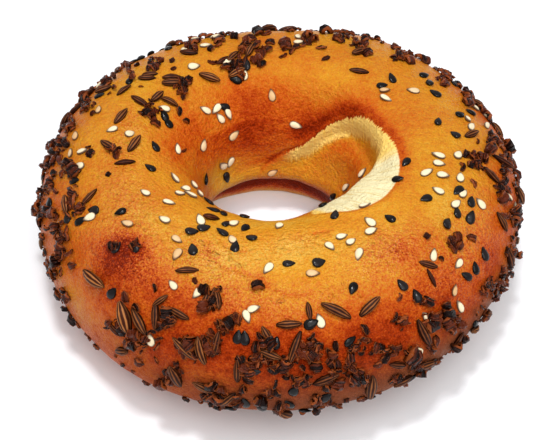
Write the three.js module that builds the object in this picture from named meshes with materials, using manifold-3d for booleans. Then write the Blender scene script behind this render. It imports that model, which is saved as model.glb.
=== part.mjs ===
// Everything bagel: a baked dough ring with seeds and dried onion flakes stuck to its crust.
//
// The bagel lies on its flat underside at z = 0, with +Z up. Seen from the front, which is -Y,
// +X is on the right. All lengths are in millimetres and all angles in degrees.
//
// Two angles name a place on the crust. Turn goes round the ring: 0 is the right side, 90 the
// back, 180 the left and 270 the front. Lean goes round the dough's section: 0 is the outer
// side, 90 the top, 180 the wall of the hole and 270 the underside.

import * as THREE from "three";
import { mergeVertices } from "three/addons/utils/BufferGeometryUtils.js";
import Module from "manifold-3d";

const wasm = await Module();
wasm.setup();

// The ring seen from above
const RING_Y = 0.8;
const OUTER_RADIUS = 56.9;
const OUTLINE_WAVES = [
  { waves: 2, size: 0.9, turn: 5 },
  { waves: 3, size: 0.9, turn: 32 },
];
const HOLE = { x: -3.5, y: 3.9, halfX: 14.8, halfY: 13.9 };

// The ring's section
const HEIGHT = 38.2;
const BACK_RISE = 1.5;
const WAIST = 0.45;
const SIDE_POWER = 0.92;
const TOP_POWER = 0.92;
const BASE_POWER = 0.95;
const BASE_SINK = 1.11;

// Soft lumps and hollows that rolling and proving left in the dough
const LUMPS = [
  { turn: 219, lean: 66, along: 17, across: 26, size: 1.2 },
  { turn: 300, lean: 52, along: 16, across: 24, size: 0.7 },
  { turn: 160, lean: 75, along: 20, across: 30, size: 0.6 },
  { turn: 75, lean: 112, along: 26, across: 20, size: 0.8 },
  { turn: 113, lean: 125, along: 11, across: 30, size: -0.9 },
  { turn: 255, lean: 92, along: 18, across: 26, size: -0.5 },
  { turn: 20, lean: 60, along: 18, across: 30, size: -0.5 },
  { turn: 290, lean: -42, along: 42, across: 26, size: -2.8 },
  { turn: 265, lean: -32, along: 24, across: 28, size: -1.0 },
  { turn: 322, lean: -30, along: 24, across: 28, size: -1.0 },
  { turn: 98, lean: 44, along: 24, across: 24, size: -1.0 },
  { turn: 60, lean: 42, along: 14, across: 22, size: 0.8 },
];

// The far wall of the hole turns under at its foot, as a lip with a hollow below it
const FOOT = [
  { turn: 95, lean: 194, along: 75, across: 9, size: 1.5 },
  { turn: 95, lean: 212, along: 75, across: 10, size: -1.8 },
  { turn: 95, lean: 237, along: 60, across: 14, size: 1.6 },
];

// The stretched seam's upper edge at the right of the hole, as places of turn and lean, and the
// step down from the crust to the smooth dough beyond it
const SEAM_EDGE = [
  [-90, 144], [-60, 123], [-48, 110], [-34, 102.5], [-20, 101], [0, 105.5], [20, 114],
  [34, 119.5], [46, 129], [56, 143], [66, 160], [80, 172], [100, 180], [130, 184],
];
const SEAM_STEP = { depth: 1.7, width: 13, fade: 30, from: -28, rise: 25, to: 107, fall: 60 };

// The bay at the right of the hole. Its near side falls away steeply, and its far side is a
// broad smooth tongue of dough
const BAY = { depth: 7, from: -80, rise: 45, full: 25, fall: 70, floorLean: 165, floorFade: 60 };
const BAY_EDGE = [
  [-70, 150], [-48, 136], [-30, 127], [-12, 123], [2, 117], [16, 111], [40, 111],
];
const BAY_SLOPE = { near: 23, far: 34, from: -5, change: 30 };

// Facets of the dough: steps round the ring and round its section, closest by the seam
const RING_STEPS = 78;
const SECTION_STEPS = 32;
const CROWDING = { lean: 122, share: 0.45 };

// Toppings, largest first. Rim and crown are how thickly they lie round the side and on top
const TOPPINGS = [
  { shape: "fennel", count: 36, length: 5.8, width: 2.0, thick: 1.7, rim: 1, crown: 0.1 },
  { shape: "flake", count: 90, length: 3.7, width: 2.7, thick: 1.7, rim: 1, crown: 0.06 },
  { shape: "sesame", count: 38, length: 3.2, width: 1.9, thick: 0.95, rim: 0.6, crown: 0.5 },
  { shape: "sesame", count: 30, length: 3.0, width: 1.85, thick: 0.95, rim: 0.8, crown: 0.4 },
];
const RIM = { lean: 20, spread: 30 };
const CROWN = { lean: 88, spread: 28 };
const TOPPING_LOWEST = -38;
const TOPPING_HIGHEST = 128;
const TOPPING_GAP = 0.6;
const TOPPING_LIFT = 0.15;
const TOPPING_SIZE_SPREAD = 0.22;
const TOPPING_TILT = 14;
const TOPPING_TRIES = 400;
const SEAM_MARGIN = 4;
const SESAME_TAPER = 0.3;
const NORMAL_STEP = 0.5;
const DRAW_SEED = 3421;
const SLIVER = 0.03;

const radians = THREE.MathUtils.degToRad;

function bell(x) {
  return Math.exp(-x * x);
}

function ease(x) {
  const part = Math.min(Math.max(x, 0), 1);
  return part * part * (3 - 2 * part);
}

// An angle brought to between -180 and 180
function wrap(angle) {
  return ((angle + 180) % 360 + 360) % 360 - 180;
}

function patch(place, turn, lean) {
  const along = bell(wrap(turn - place.turn) / place.along);
  const across = bell(wrap(lean - place.lean) / place.across);
  return place.size * along * across;
}

function outerRadius(turn) {
  let radius = OUTER_RADIUS;
  for (const wave of OUTLINE_WAVES) {
    radius += wave.size * Math.cos(radians(wave.waves * (turn - wave.turn)));
  }
  return radius;
}

// Distance from the ring's centre to the hole's oval, which lies off centre
function holeRadius(turn) {
  const cos = Math.cos(radians(turn));
  const sin = Math.sin(radians(turn));
  const a = (cos / HOLE.halfX) ** 2 + (sin / HOLE.halfY) ** 2;
  const b = (cos * HOLE.x) / HOLE.halfX ** 2 + (sin * HOLE.y) / HOLE.halfY ** 2;
  const c = (HOLE.x / HOLE.halfX) ** 2 + (HOLE.y / HOLE.halfY) ** 2 - 1;
  return (b + Math.sqrt(b * b - a * c)) / a;
}

// The lean at a turn on a smooth line through places of turn and lean
function follow(line, turn) {
  const last = line.length - 1;
  const around = Math.min(Math.max(wrap(turn), line[0][0]), line[last][0]);
  const step = line.findIndex((place, index) => index > 0 && around <= place[0]);
  const [before, start] = line[step - 1];
  const [after, end] = line[step];
  const slopes = [step - 1, step].map((index) => {
    const [low, first] = line[Math.max(index - 1, 0)];
    const [high, second] = line[Math.min(index + 1, last)];
    return ((second - first) / (high - low)) * (after - before);
  });
  const part = (around - before) / (after - before);
  const bend = slopes[0] * part * (1 - part) ** 2 - slopes[1] * part * part * (1 - part);
  return start + (end - start) * ease(part) + bend;
}

function seamEdge(turn) {
  return follow(SEAM_EDGE, turn);
}

function seamDepth(turn, lean) {
  const around = wrap(turn);
  const past = lean - seamEdge(turn);
  const start = ease((around - SEAM_STEP.from) / SEAM_STEP.rise);
  const end = ease((SEAM_STEP.to - around) / SEAM_STEP.fall);
  const down = ease(past / SEAM_STEP.width);
  const back = 1 - ease((past - SEAM_STEP.width) / SEAM_STEP.fade);
  return SEAM_STEP.depth * start * end * down * back;
}

function bayDepth(turn, lean) {
  const around = wrap(turn);
  const change = ease((around - BAY_SLOPE.from) / BAY_SLOPE.change);
  const slope = BAY_SLOPE.near + (BAY_SLOPE.far - BAY_SLOPE.near) * change;
  const start = ease((around - BAY.from) / BAY.rise);
  const end = 1 - ease((around - BAY.full) / BAY.fall);
  const down = ease((lean - follow(BAY_EDGE, turn)) / slope);
  const back = 1 - ease((lean - BAY.floorLean) / BAY.floorFade);
  return BAY.depth * start * end * down * back;
}

// How far the crust stands out from the plain ring
function swell(turn, lean) {
  let height = -seamDepth(turn, lean) - bayDepth(turn, lean);
  for (const lump of [...LUMPS, ...FOOT]) {
    height += patch(lump, turn, lean);
  }
  return height;
}

function signedPower(value, power) {
  return Math.sign(value) * Math.abs(value) ** power;
}

function crustPoint(turn, lean) {
  const outer = outerRadius(turn);
  const inner = holeRadius(turn);
  const top = HEIGHT + BACK_RISE * Math.sin(radians(turn));
  const waist = WAIST * top;
  const cos = Math.cos(radians(lean));
  const sin = Math.sin(radians(lean));
  const side = ((outer - inner) / 2) * signedPower(cos, SIDE_POWER);
  const rise = sin >= 0
    ? (top - waist) * signedPower(sin, TOP_POWER)
    : BASE_SINK * waist * signedPower(sin, BASE_POWER);
  const out = swell(turn, lean);
  const radius = (outer + inner) / 2 + side + out * cos;
  const height = Math.max(waist + rise + out * sin, 0);
  const x = radius * Math.cos(radians(turn));
  const y = radius * Math.sin(radians(turn));
  return new THREE.Vector3(x, y + RING_Y, height);
}

function crustNormal(turn, lean) {
  const alongRing = crustPoint(turn + NORMAL_STEP, lean);
  alongRing.sub(crustPoint(turn - NORMAL_STEP, lean));
  const alongSection = crustPoint(turn, lean + NORMAL_STEP);
  alongSection.sub(crustPoint(turn, lean - NORMAL_STEP));
  return alongRing.cross(alongSection).normalize();
}

// The dough is a torus whose vertices are moved to the crust. Its quads are split along their
// shorter diagonals
function doughGeometry() {
  const geometry = new THREE.TorusGeometry(1, 0.5, SECTION_STEPS, RING_STEPS);
  const position = geometry.getAttribute("position");
  const columns = RING_STEPS + 1;
  for (let row = 0; row <= SECTION_STEPS; row += 1) {
    const angle = ((row % SECTION_STEPS) / SECTION_STEPS) * 360;
    const crowded = Math.cos(radians(angle - CROWDING.lean + 90));
    const lean = angle + THREE.MathUtils.radToDeg(CROWDING.share * crowded);
    for (let column = 0; column <= RING_STEPS; column += 1) {
      const turn = ((column % RING_STEPS) / RING_STEPS) * 360;
      const point = crustPoint(turn, lean);
      position.setXYZ(row * columns + column, point.x, point.y, point.z);
    }
  }
  const pointAt = (index) => new THREE.Vector3().fromBufferAttribute(position, index);
  const triangles = [];
  for (let row = 0; row < SECTION_STEPS; row += 1) {
    for (let column = 0; column < RING_STEPS; column += 1) {
      const start = row * columns + column;
      const [a, b, c, d] = [start, start + 1, start + columns + 1, start + columns];
      const straight = pointAt(a).distanceTo(pointAt(c)) < pointAt(b).distanceTo(pointAt(d));
      triangles.push(...(straight ? [a, b, c, a, c, d] : [a, b, d, b, c, d]));
    }
  }
  geometry.setIndex(triangles);
  return geometry;
}

// Repeatable draws between 0 and 1
function makeDraw(seed) {
  let state = seed;
  return () => {
    state = (state * 16807) % 2147483647;
    return state / 2147483647;
  };
}

const draw = makeDraw(DRAW_SEED);

function drawBetween(low, high) {
  return low + (high - low) * draw();
}

// A sesame seed, a drop that narrows towards +X
function sesameGeometry() {
  const geometry = new THREE.IcosahedronGeometry(1, 0);
  const position = geometry.getAttribute("position");
  for (let index = 0; index < position.count; index += 1) {
    const narrow = 1 - SESAME_TAPER * position.getX(index);
    position.setY(index, position.getY(index) * narrow);
  }
  return geometry;
}

// Each shape is two units long in X, Y and Z, and is scaled to its size afterwards
const SHAPES = {
  fennel: () => new THREE.SphereGeometry(1, 6, 4).rotateZ(Math.PI / 2),
  flake: () => new THREE.OctahedronGeometry(1, 0),
  sesame: sesameGeometry,
};

function toppingPlace(topping, taken) {
  for (let attempt = 0; attempt < TOPPING_TRIES; attempt += 1) {
    const turn = drawBetween(0, 360);
    const lean = drawBetween(TOPPING_LOWEST, TOPPING_HIGHEST);
    const point = crustPoint(turn, lean);
    const rim = topping.rim * bell((lean - RIM.lean) / RIM.spread);
    const crown = topping.crown * bell((lean - CROWN.lean) / CROWN.spread);
    const room = Math.hypot(point.x, point.y) / OUTER_RADIUS;
    const wanted = draw() < (rim + crown) * room;
    const onSeam = lean > seamEdge(turn) - SEAM_MARGIN;
    const reach = topping.length / 2 + TOPPING_GAP;
    const clear = taken.every((other) => other.point.distanceTo(point) > other.reach + reach);
    if (wanted && !onSeam && clear) {
      taken.push({ point, reach: topping.length / 2 });
      return { point, normal: crustNormal(turn, lean) };
    }
  }
  return null;
}

// A topping lies on the crust, turned any way and sunk a little into it
function toppingGeometry(topping, place) {
  const size = 1 + drawBetween(-TOPPING_SIZE_SPREAD, TOPPING_SIZE_SPREAD);
  const spin = drawBetween(0, 2 * Math.PI);
  const tilt = radians(drawBetween(-TOPPING_TILT, TOPPING_TILT));
  const geometry = SHAPES[topping.shape]();
  geometry.scale((size * topping.length) / 2, (size * topping.width) / 2, topping.thick / 2);
  geometry.rotateY(tilt);
  geometry.rotateZ(spin);
  const upright = new THREE.Quaternion();
  upright.setFromUnitVectors(new THREE.Vector3(0, 0, 1), place.normal);
  geometry.applyQuaternion(upright);
  const lifted = place.point.clone().addScaledVector(place.normal, TOPPING_LIFT * topping.thick);
  geometry.translate(lifted.x, lifted.y, lifted.z);
  return geometry;
}

function toSolid(geometry) {
  geometry.deleteAttribute("normal");
  geometry.deleteAttribute("uv");
  const merged = mergeVertices(geometry);
  const vertProperties = new Float32Array(merged.getAttribute("position").array);
  const triVerts = new Uint32Array(merged.index.array);
  return new wasm.Manifold(new wasm.Mesh({ numProp: 3, vertProperties, triVerts }));
}

function toGeometry(solid) {
  const mesh = solid.getMesh();
  const geometry = new THREE.BufferGeometry();
  geometry.setAttribute("position", new THREE.BufferAttribute(mesh.vertProperties, 3));
  geometry.setIndex(new THREE.BufferAttribute(mesh.triVerts, 1));
  geometry.computeVertexNormals();
  return geometry;
}

// The toppings are fused to the dough. The largest shell is kept, so a hollow that the fusing
// seals is filled and a loose scrap is dropped
function bagelGeometry() {
  const taken = [];
  let fused = toSolid(doughGeometry());
  for (const topping of TOPPINGS) {
    for (let number = 0; number < topping.count; number += 1) {
      const place = toppingPlace(topping, taken);
      if (place) {
        fused = fused.add(toSolid(toppingGeometry(topping, place)));
      }
    }
  }
  const shells = fused.simplify(SLIVER).decompose();
  shells.sort((first, second) => second.volume() - first.volume());
  return toGeometry(shells[0]);
}

const crust = new THREE.MeshStandardMaterial({ color: 0xe09030, roughness: 0.42, metalness: 0 });

const bagel = new THREE.Mesh(bagelGeometry(), crust);
bagel.name = "bagel";

const group = new THREE.Group();
group.add(bagel);

export default group;
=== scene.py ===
import math
import random

import bmesh
import bpy
from mathutils import Matrix, Vector, noise
from mathutils.bvhtree import BVHTree


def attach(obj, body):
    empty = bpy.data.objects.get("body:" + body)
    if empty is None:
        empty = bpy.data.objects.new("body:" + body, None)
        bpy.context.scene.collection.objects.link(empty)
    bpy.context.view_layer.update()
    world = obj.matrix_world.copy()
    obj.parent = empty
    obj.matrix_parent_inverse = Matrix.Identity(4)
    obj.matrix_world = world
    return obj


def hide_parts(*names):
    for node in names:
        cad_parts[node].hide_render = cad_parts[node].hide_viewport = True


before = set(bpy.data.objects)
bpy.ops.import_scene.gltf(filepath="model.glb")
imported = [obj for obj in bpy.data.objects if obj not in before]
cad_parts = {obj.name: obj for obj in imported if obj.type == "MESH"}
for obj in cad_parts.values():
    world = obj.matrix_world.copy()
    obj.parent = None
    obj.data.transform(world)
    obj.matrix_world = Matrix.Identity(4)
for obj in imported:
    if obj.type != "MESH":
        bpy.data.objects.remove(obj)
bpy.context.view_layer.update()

bl_info = {
    "name": "Everything Bagel",
    "version": (1, 0, 0),
    "blender": (4, 5, 0),
    "location": "View3D > Sidebar > Bagel",
    "description": "Builds a baked bagel with sesame, fennel and onion toppings",
    "category": "Object",
}

# The bagel lies at z = 0 with +Z up and its front towards -Y. Two angles, in degrees, name a
# place on the crust. Turn goes round the ring: 0 is the right side, 90 the back, 180 the left
# and 270 the front. Lean goes round the dough's section: 0 is the outer side, 90 the top, 180
# the wall of the hole and 270, or -90, the underside. On the mesh it runs from -90 to 270.
MM = 0.001
NODE = "bagel"
BODY = "root"

# The ring seen from above, with the waves in its outline as waves, size and turn
RING_Y = 0.8 * MM
OUTLINE_WAVES = ((2, 0.9 * MM, 5), (3, 0.9 * MM, 32))
HOLE_CENTRE = Vector((-3.5 * MM, 3.9 * MM))
HOLE_HALF = Vector((14.8 * MM, 13.9 * MM))

# The ring's section
WAIST = 0.45
SIDE_POWER = 0.92
TOP_POWER = 0.92
BASE_POWER = 0.95
BASE_SINK = 1.11

# Soft lumps and hollows of the dough: turn, lean, reach along, reach across and height
LUMPS = (
    (219, 66, 17, 26, 1.2 * MM),
    (300, 52, 16, 24, 0.7 * MM),
    (160, 75, 20, 30, 0.6 * MM),
    (75, 112, 26, 20, 0.8 * MM),
    (113, 125, 11, 30, -0.9 * MM),
    (255, 92, 18, 26, -0.5 * MM),
    (20, 60, 18, 30, -0.5 * MM),
    (290, -42, 42, 26, -2.8 * MM),
    (265, -32, 24, 28, -1.0 * MM),
    (322, -30, 24, 28, -1.0 * MM),
    (98, 44, 24, 24, -1.0 * MM),
    (60, 42, 14, 22, 0.8 * MM),
)

# The far wall of the hole turns under sharply at its foot, as a lip with a hollow below it
FOOT = (
    (95, 194, 75, 9, 1.5 * MM),
    (95, 212, 75, 10, -1.8 * MM),
    (95, 237, 60, 14, 1.6 * MM),
)

# A span is four angles: where something starts, how far on from there it is whole, where it has
# ended, and how far before that it begins to fade

# The stretched seam's upper edge, as places of turn and lean read from the picture, and the step
# down from the crust to the smooth dough beyond it
SEAM_EDGE = (
    (-90, 144), (-60, 123), (-48, 110), (-34, 102.5), (-20, 101), (0, 105.5), (20, 114),
    (34, 119.5), (46, 129), (56, 143), (66, 160), (80, 172), (100, 180), (130, 184),
)
SEAM_SPAN = (-28, 25, 107, 60)
SEAM_WIDTH = 13
SEAM_DEPTH = 1.7 * MM
SEAM_FADE = 30

# The crust's thin lip along the seam, and how near to the seam its relief is worked out
SEAM_LIP = 0.25 * MM
SEAM_LIP_PLACE = -3
SEAM_LIP_REACH = 3.5
SEAM_NEAR = 12

# How many degrees of lean the seam's pale dough spans: narrow at the back, but for one wider
# place, and broad in front
PALE_SPAN = (-66, 14, 90, 24)
PALE_NARROW = 6
PALE_WIDER = 6
PALE_WIDER_TURN = 54
PALE_WIDER_REACH = 14
PALE_BROAD = 28
PALE_BROAD_TURN = 10
PALE_BROAD_REACH = 20

# The bay at the right of the hole. Its near side falls away steeply, and its far side is a
# broad smooth tongue of dough
BAY_DEPTH = 7 * MM
BAY_SPAN = (-80, 45, 95, 70)
BAY_EDGE = ((-70, 150), (-48, 136), (-30, 127), (-12, 123), (2, 117), (16, 111), (40, 111))
BAY_NEAR_WIDTH = 23
BAY_FAR_WIDTH = 34
BAY_FAR_TURN = -5
BAY_FAR_REACH = 30
BAY_END = 225
BAY_FADE = 60

# The dough's mesh, whose points crowd together near the seam
RING_STEPS = 540
RING_CROWD_TURN = 10
RING_CROWDING = 0.25
SECTION_STEPS = 180
SECTION_CROWD_LEAN = 122
SECTION_CROWDING = 0.42
SAME_POINT = 0.0001 * MM

# The crust's small relief. Fibres are stretched across the seam, a crease is worked out within
# a few degrees of its ends, and the last two say how long a degree of turn and of lean are
LUMP_SIZE = 8 * MM
DIMPLE_SIZE = 2.6 * MM
DIMPLE_SHARE = 0.35
WRINKLE_HEIGHT = 0.3 * MM
WRINKLE_SPACING = 1.9 * MM
LEAST_WRINKLE = 0.02
FIBRE_HEIGHT = 0.1 * MM
FIBRE_SPACING = 1.3 * MM
FIBRE_STRETCH = 6
FIBRE_FADE_IN = 2
FIBRE_FADE_OUT = 6
CREASE_DEPTH = 0.4 * MM
CREASE_REACH = 0.42 * MM
CREASE_NEAR = 6
MM_PER_TURN = 0.62 * MM
MM_PER_LEAN = 0.34 * MM

# Where the crust is finely wrinkled: turn, lean, reach along, reach across and how strongly
WRINKLES = (
    (247, 86, 15, 14, 1.0),
    (276, 100, 14, 10, 0.8),
    (305, 80, 14, 14, 0.8),
    (330, 60, 20, 16, 0.35),
    (222, 64, 14, 16, 0.6),
    (266, 66, 26, 12, 0.5),
    (207, 86, 20, 15, 0.6),
    (172, 96, 14, 12, 0.5),
    (322, 45, 16, 14, 0.25),
)

# Fine creases in the crust, each as places of turn and lean
CREASES = (
    ((76, 169), (88, 174), (98, 181), (106, 189)),
    ((240, 94), (244, 87), (250, 83), (258, 82), (264, 80)),
    ((264, 78), (268, 73), (274, 69), (279, 70)),
    ((243, 99), (249, 95), (256, 95)),
    ((286, 105), (289, 106), (293, 104)),
)

# How brown the crust baked, from 0 for pale yellow to 1 for dark brown: on top, on the outer
# side and in the hole, and the leans where it turns from one to the next
BAKED_TOP = 0.38
BAKED_SIDE = 0.66
BAKED_INSIDE = 0.48
BAKED_LEAN = 70
BAKED_REACH = 55
BAKED_INSIDE_LEAN = 150

# Browner and paler patches: turn, lean, reach along, reach across and how much browner
BAKE_PATCHES = (
    (223, 60, 11, 15, 0.36),
    (219, 62, 4, 5, 0.3),
    (223, 70, 4, 5, 0.3),
    (242, 79, 16, 10, -0.06),
    (310, 74, 14, 11, 0.16),
    (338, 52, 22, 18, 0.05),
    (322, 20, 20, 14, 0.04),
    (306, 41, 16, 11, 0.03),
    (289, 71, 12, 10, -0.12),
    # Browner low on the front: partly its own browning, partly painted shade
    (278, 34, 50, 22, 0.16),
    (222, 44, 24, 24, 0.1),
    (264, 122, 44, 17, -0.26),
    (268, 93, 26, 12, -0.26),
    (300, 51, 16, 12, 0.1),
    (323, 71, 7, 9, 0.14),
    (332, 76, 9, 9, -0.24),
    (203, 104, 24, 20, -0.04),
    (205, 14, 22, 26, -0.12),
    (224, 16, 16, 14, -0.16),
    (276, 4, 30, 12, 0.1),
    (142, 86, 26, 18, -0.12),
    (75, 70, 60, 18, -0.1),
    (62, 109, 12, 8, -0.14),
    (86, 117, 10, 8, -0.14),
    (42, 126, 12, 8, 0.2),
    (72, 142, 14, 13, 0.24),
    (26, 107, 16, 10, 0.1),
    (90, 166, 14, 9, -0.24),
    (108, 154, 16, 16, 0.12),
    (92, 146, 12, 12, 0.06),
    (225, 86, 12, 10, -0.06),
    (106, 138, 24, 26, 0.38),
    (128, 165, 20, 16, 0.22),
    (118, 127, 16, 12, -0.06),
    (128, 112, 16, 12, -0.06),
    (160, 138, 26, 20, 0.26),
    # Paler low on the hole's left and far walls: painted light where the lamps leave them in shade
    (138, 184, 20, 16, -0.42),
    (85, 184, 26, 14, -0.12),
    (42, 150, 26, 20, 0.14),
    (3, 130, 12, 10, -0.2),
    (350, 75, 22, 26, -0.1),
    (315, 95, 18, 13, -0.14),
    (238, 112, 14, 14, -0.1),
    # Browner low on the front: partly its own browning, partly painted shade
    (248, 58, 18, 10, 0.16),
    (265, 43, 30, 12, 0.16),
    (270, 30, 34, 14, 0.08),
)

# The crust is darker along the ridge that the seam left, whose reach grows towards the back.
# The ridge's place and spread are shares of that reach
RIDGE_BROWN = 0.34
RIDGE_SPAN = (-40, 50, 125, 40)
RIDGE_PLACE = 0.8
RIDGE_SPREAD = 0.85
RIDGE_REACH = 4
RIDGE_GROWTH = 8
RIDGE_GROWTH_TURN = 20
RIDGE_GROWTH_REACH = 45

# It is paler just past the seam's pale dough and on all the dough that stretched there
BESIDE_PALE = 0.3
BESIDE_PLACE = 4
BESIDE_REACH = 7
BESIDE_WIDTH = 8
STRETCHED_PALE = 0.2
STRETCHED_SPAN = (-40, 30, 165, 30)
STRETCHED_START = -2
STRETCHED_REACH = 9

# Beneath the lip at the hole's foot it is browner, partly its own browning and partly painted
# shade of the undercut, and pale again where it meets the floor, as that painted shade fades out
FOOT_BROWN_AND_SHADE = 0.62
FOOT_SHADE_LEAN = 194
FOOT_SHADE_REACH = 10
FOOT_PALE = 0.85
FOOT_PALE_LEAN = 218
FOOT_PALE_REACH = 14

# How much of the dull colour the lowest crust takes, below which lean it starts on the outer
# side and past which it starts underneath, and the turn where the outer side keeps its colour.
# That colour is partly the underside's own dull brown and partly painted shade and painted sheen
DULLEST = 0.85
DULL_LEAN = 30
DULL_REACH = 32
DULL_UNDER_LEAN = 232
DULL_UNDER_REACH = 26
BRIGHT_TURN = 216
BRIGHT_REACH = 36
BRIGHT_SHARE = 0.8

# Toppings that the viewer sees. Each place is read from the 550 by 440 picture: across, down,
# and the direction of the topping's tip or long side in degrees from the right
WHITE_SESAME = (
    (164, 109, 165), (112, 130, 195), (187, 50, 10), (194, 67, 10), (196, 34, 0), (216, 38, 5),
    (206, 46, 5), (205, 110, 150), (216, 109, 230), (220, 118, 128),
    (228, 114, 292), (245, 75, 90), (227, 62, 0), (298, 37, 60), (299, 43, 0), (296, 125, 340),
    (386, 99, 340), (467, 119, 100), (471, 127, 50), (474, 108, 150), (486, 126, 40),
    (130, 134, 20), (83, 152, 12), (80, 166, 160), (177, 149, 100), (145, 193, 145),
    (174, 179, 135), (180, 194, 0), (185, 189, 170), (190, 195, 150), (193, 185, 115),
    (199, 194, 125), (169, 203, 345), (164, 220, 145), (90, 218, 205),
    (200, 221, 120), (222, 165, 145), (230, 162, 250), (234, 224, 20), (279, 227, 230),
    (365, 206, 20), (370, 223, 150), (371, 232, 15), (438, 156, 165), (439, 164, 350),
    (427, 173, 25), (443, 176, 345), (438, 191, 150), (458, 155, 60), (460, 178, 90),
    (463, 194, 50), (456, 204, 40), (480, 204, 130), (508, 197, 135), (514, 208, 95),
    (173, 285, 130), (165, 311, 120), (198, 293, 225), (268, 269, 230), (254, 309, 15),
    (247, 317, 290), (330, 247, 315), (342, 237, 20), (351, 242, 35), (359, 255, 255),
    (320, 321, 110), (433, 255, 85), (458, 264, 235), (459, 306, 115), (426, 317, 130),
    (151, 339, 105), (347, 187, 40), (363, 173, 55), (418, 350, 150),
)
TOASTED_SESAME = (
    (99, 110, 80), (272, 95, 100), (385, 91, 0), (413, 91, 170), (76, 136, 85), (71, 153, 90),
    (203, 145, 75), (234, 135, 40), (273, 172, 20), (177, 240, 325), (177, 255, 240),
    (313, 274, 0), (454, 290, 80), (232, 240, 120), (127, 224, 160),
)
BLACK_SESAME = (
    (130, 81, 60), (100, 96, 20), (87, 101, 10), (168, 49, 160), (142, 59, 10), (164, 116, 115),
    (168, 123, 120), (224, 107, 160), (237, 65, 10), (247, 66, 80), (236, 80, 170),
    (392, 79, 120), (382, 86, 3), (424, 76, 5), (429, 83, 100), (435, 94, 145), (438, 122, 80),
    (460, 115, 20), (470, 113, 155), (458, 80, 80), (155, 147, 125), (150, 168, 145),
    (121, 213, 210), (75, 181, 10), (73, 174, 50), (94, 211, 170), (68, 218, 90), (81, 221, 30),
    (50, 203, 95), (205, 179, 85), (226, 177, 280), (208, 202, 145), (213, 210, 160),
    (224, 214, 35), (245, 216, 0), (226, 224, 45), (204, 228, 20), (324, 205, 50),
    (334, 196, 40), (335, 215, 80), (455, 135, 140), (406, 163, 230), (398, 180, 0),
    (426, 199, 200), (458, 191, 220), (471, 202, 85), (457, 213, 95), (470, 218, 75),
    (447, 224, 65), (390, 219, 150), (512, 158, 110), (193, 250, 100), (192, 232, 10),
    (113, 293, 50), (235, 247, 80), (222, 233, 150), (245, 229, 215), (251, 238, 155),
    (289, 264, 3), (319, 263, 20), (353, 289, 250), (311, 324, 25), (402, 285, 130),
    (484, 254, 100), (475, 268, 95), (466, 276, 150), (475, 323, 20), (416, 296, 110),
    (238, 337, 80), (245, 338, 95), (276, 343, 80), (350, 341, 40), (255, 371, 10),
    (294, 390, 60), (245, 402, 110), (261, 407, 160), (230, 412, 175), (289, 403, 135),
    (318, 402, 35), (325, 396, 35), (371, 398, 40), (434, 367, 95), (117, 248, 60),
    (135, 247, 110),
)

# Long seeds, with their length in millimetres and how pale they are from 0 to 1
FENNEL = (
    (189, 54, 0, 4.6, 0.2), (172, 78, 5, 5.0, 0.3), (172, 84, 4, 5.2, 0.4),
    (124, 91, 35, 4.6, 0.3), (104, 91, 25, 4.4, 0.5), (140, 102, 150, 5.4, 0.2),
    (169, 102, 155, 5.0, 0.5), (121, 117, 48, 5.4, 0.5), (147, 79, 5, 4.6, 0.4),
    (150, 75, 5, 4.0, 0.3), (157, 98, 35, 4.2, 0.6), (209, 78, 160, 5.6, 0.8),
    (237, 73, 28, 4.8, 0.9), (359, 72, 175, 5.0, 0.2), (359, 53, 20, 4.6, 0.4),
    (471, 135, 18, 5.0, 0.5), (125, 163, 8, 5.0, 0.1), (109, 147, 145, 5.4, 0.5),
    (134, 145, 50, 5.6, 0.7), (56, 159, 55, 4.8, 0.2), (67, 163, 20, 4.4, 0.3),
    (67, 205, 95, 5.2, 0.8), (211, 219, 0, 4.4, 0.2), (96, 279, 143, 7.6, 1.0),
    (127, 317, 103, 7.6, 1.0), (140, 321, 118, 6.6, 0.6), (187, 271, 0, 5.2, 0.3),
    (161, 301, 32, 4.2, 0.5), (179, 314, 150, 5.4, 0.4), (157, 315, 93, 6.2, 0.3),
    (336, 311, 155, 7.2, 0.5), (289, 325, 3, 5.6, 0.5), (369, 307, 45, 6.0, 0.6),
    (501, 163, 135, 6.6, 0.2), (491, 177, 138, 5.4, 0.3), (501, 222, 115, 5.2, 0.4),
    (428, 265, 165, 4.4, 0.3), (186, 348, 135, 7.0, 0.6), (201, 350, 105, 6.4, 0.6),
    (115, 329, 135, 4.6, 0.2), (123, 350, 175, 4.6, 0.4), (177, 374, 110, 7.0, 0.4),
    (238, 370, 90, 5.6, 0.3), (270, 354, 160, 5.2, 0.5), (295, 347, 70, 7.4, 0.3),
    (325, 378, 25, 6.2, 0.3), (204, 385, 145, 5.4, 0.5), (228, 397, 28, 5.6, 0.5),
    (370, 385, 80, 7.4, 0.5), (397, 364, 175, 5.0, 0.2), (422, 332, 115, 7.2, 0.3),
    (457, 339, 58, 5.2, 0.2), (402, 379, 20, 5.6, 0.4), (423, 363, 32, 5.6, 0.4),
    (216, 344, 75, 6.0, 0.3), (267, 335, 120, 4.2, 0.5), (508, 257, 100, 6.6, 0.3),
    (309, 311, 100, 4.0, 0.3), (450, 326, 110, 5.6, 0.3), (90, 198, 50, 5.2, 0.4),
    (226, 322, 40, 4.8, 0.5), (212, 300, 75, 5.4, 0.4), (206, 303, 70, 5.2, 0.3),
    (258, 62, 105, 4.6, 0.1), (223, 61, 35, 4.2, 0.1), (245, 62, 75, 4.0, 0.1),
    (218, 300, 100, 4.8, 0.4), (312, 352, 70, 5.4, 0.4), (431, 278, 115, 4.4, 0.0),
    (516, 252, 60, 4.6, 0.3), (487, 314, 115, 6.4, 0.4), (250, 52, 60, 4.2, 0.6),
    (233, 57, 45, 4.2, 0.5),
)

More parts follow.
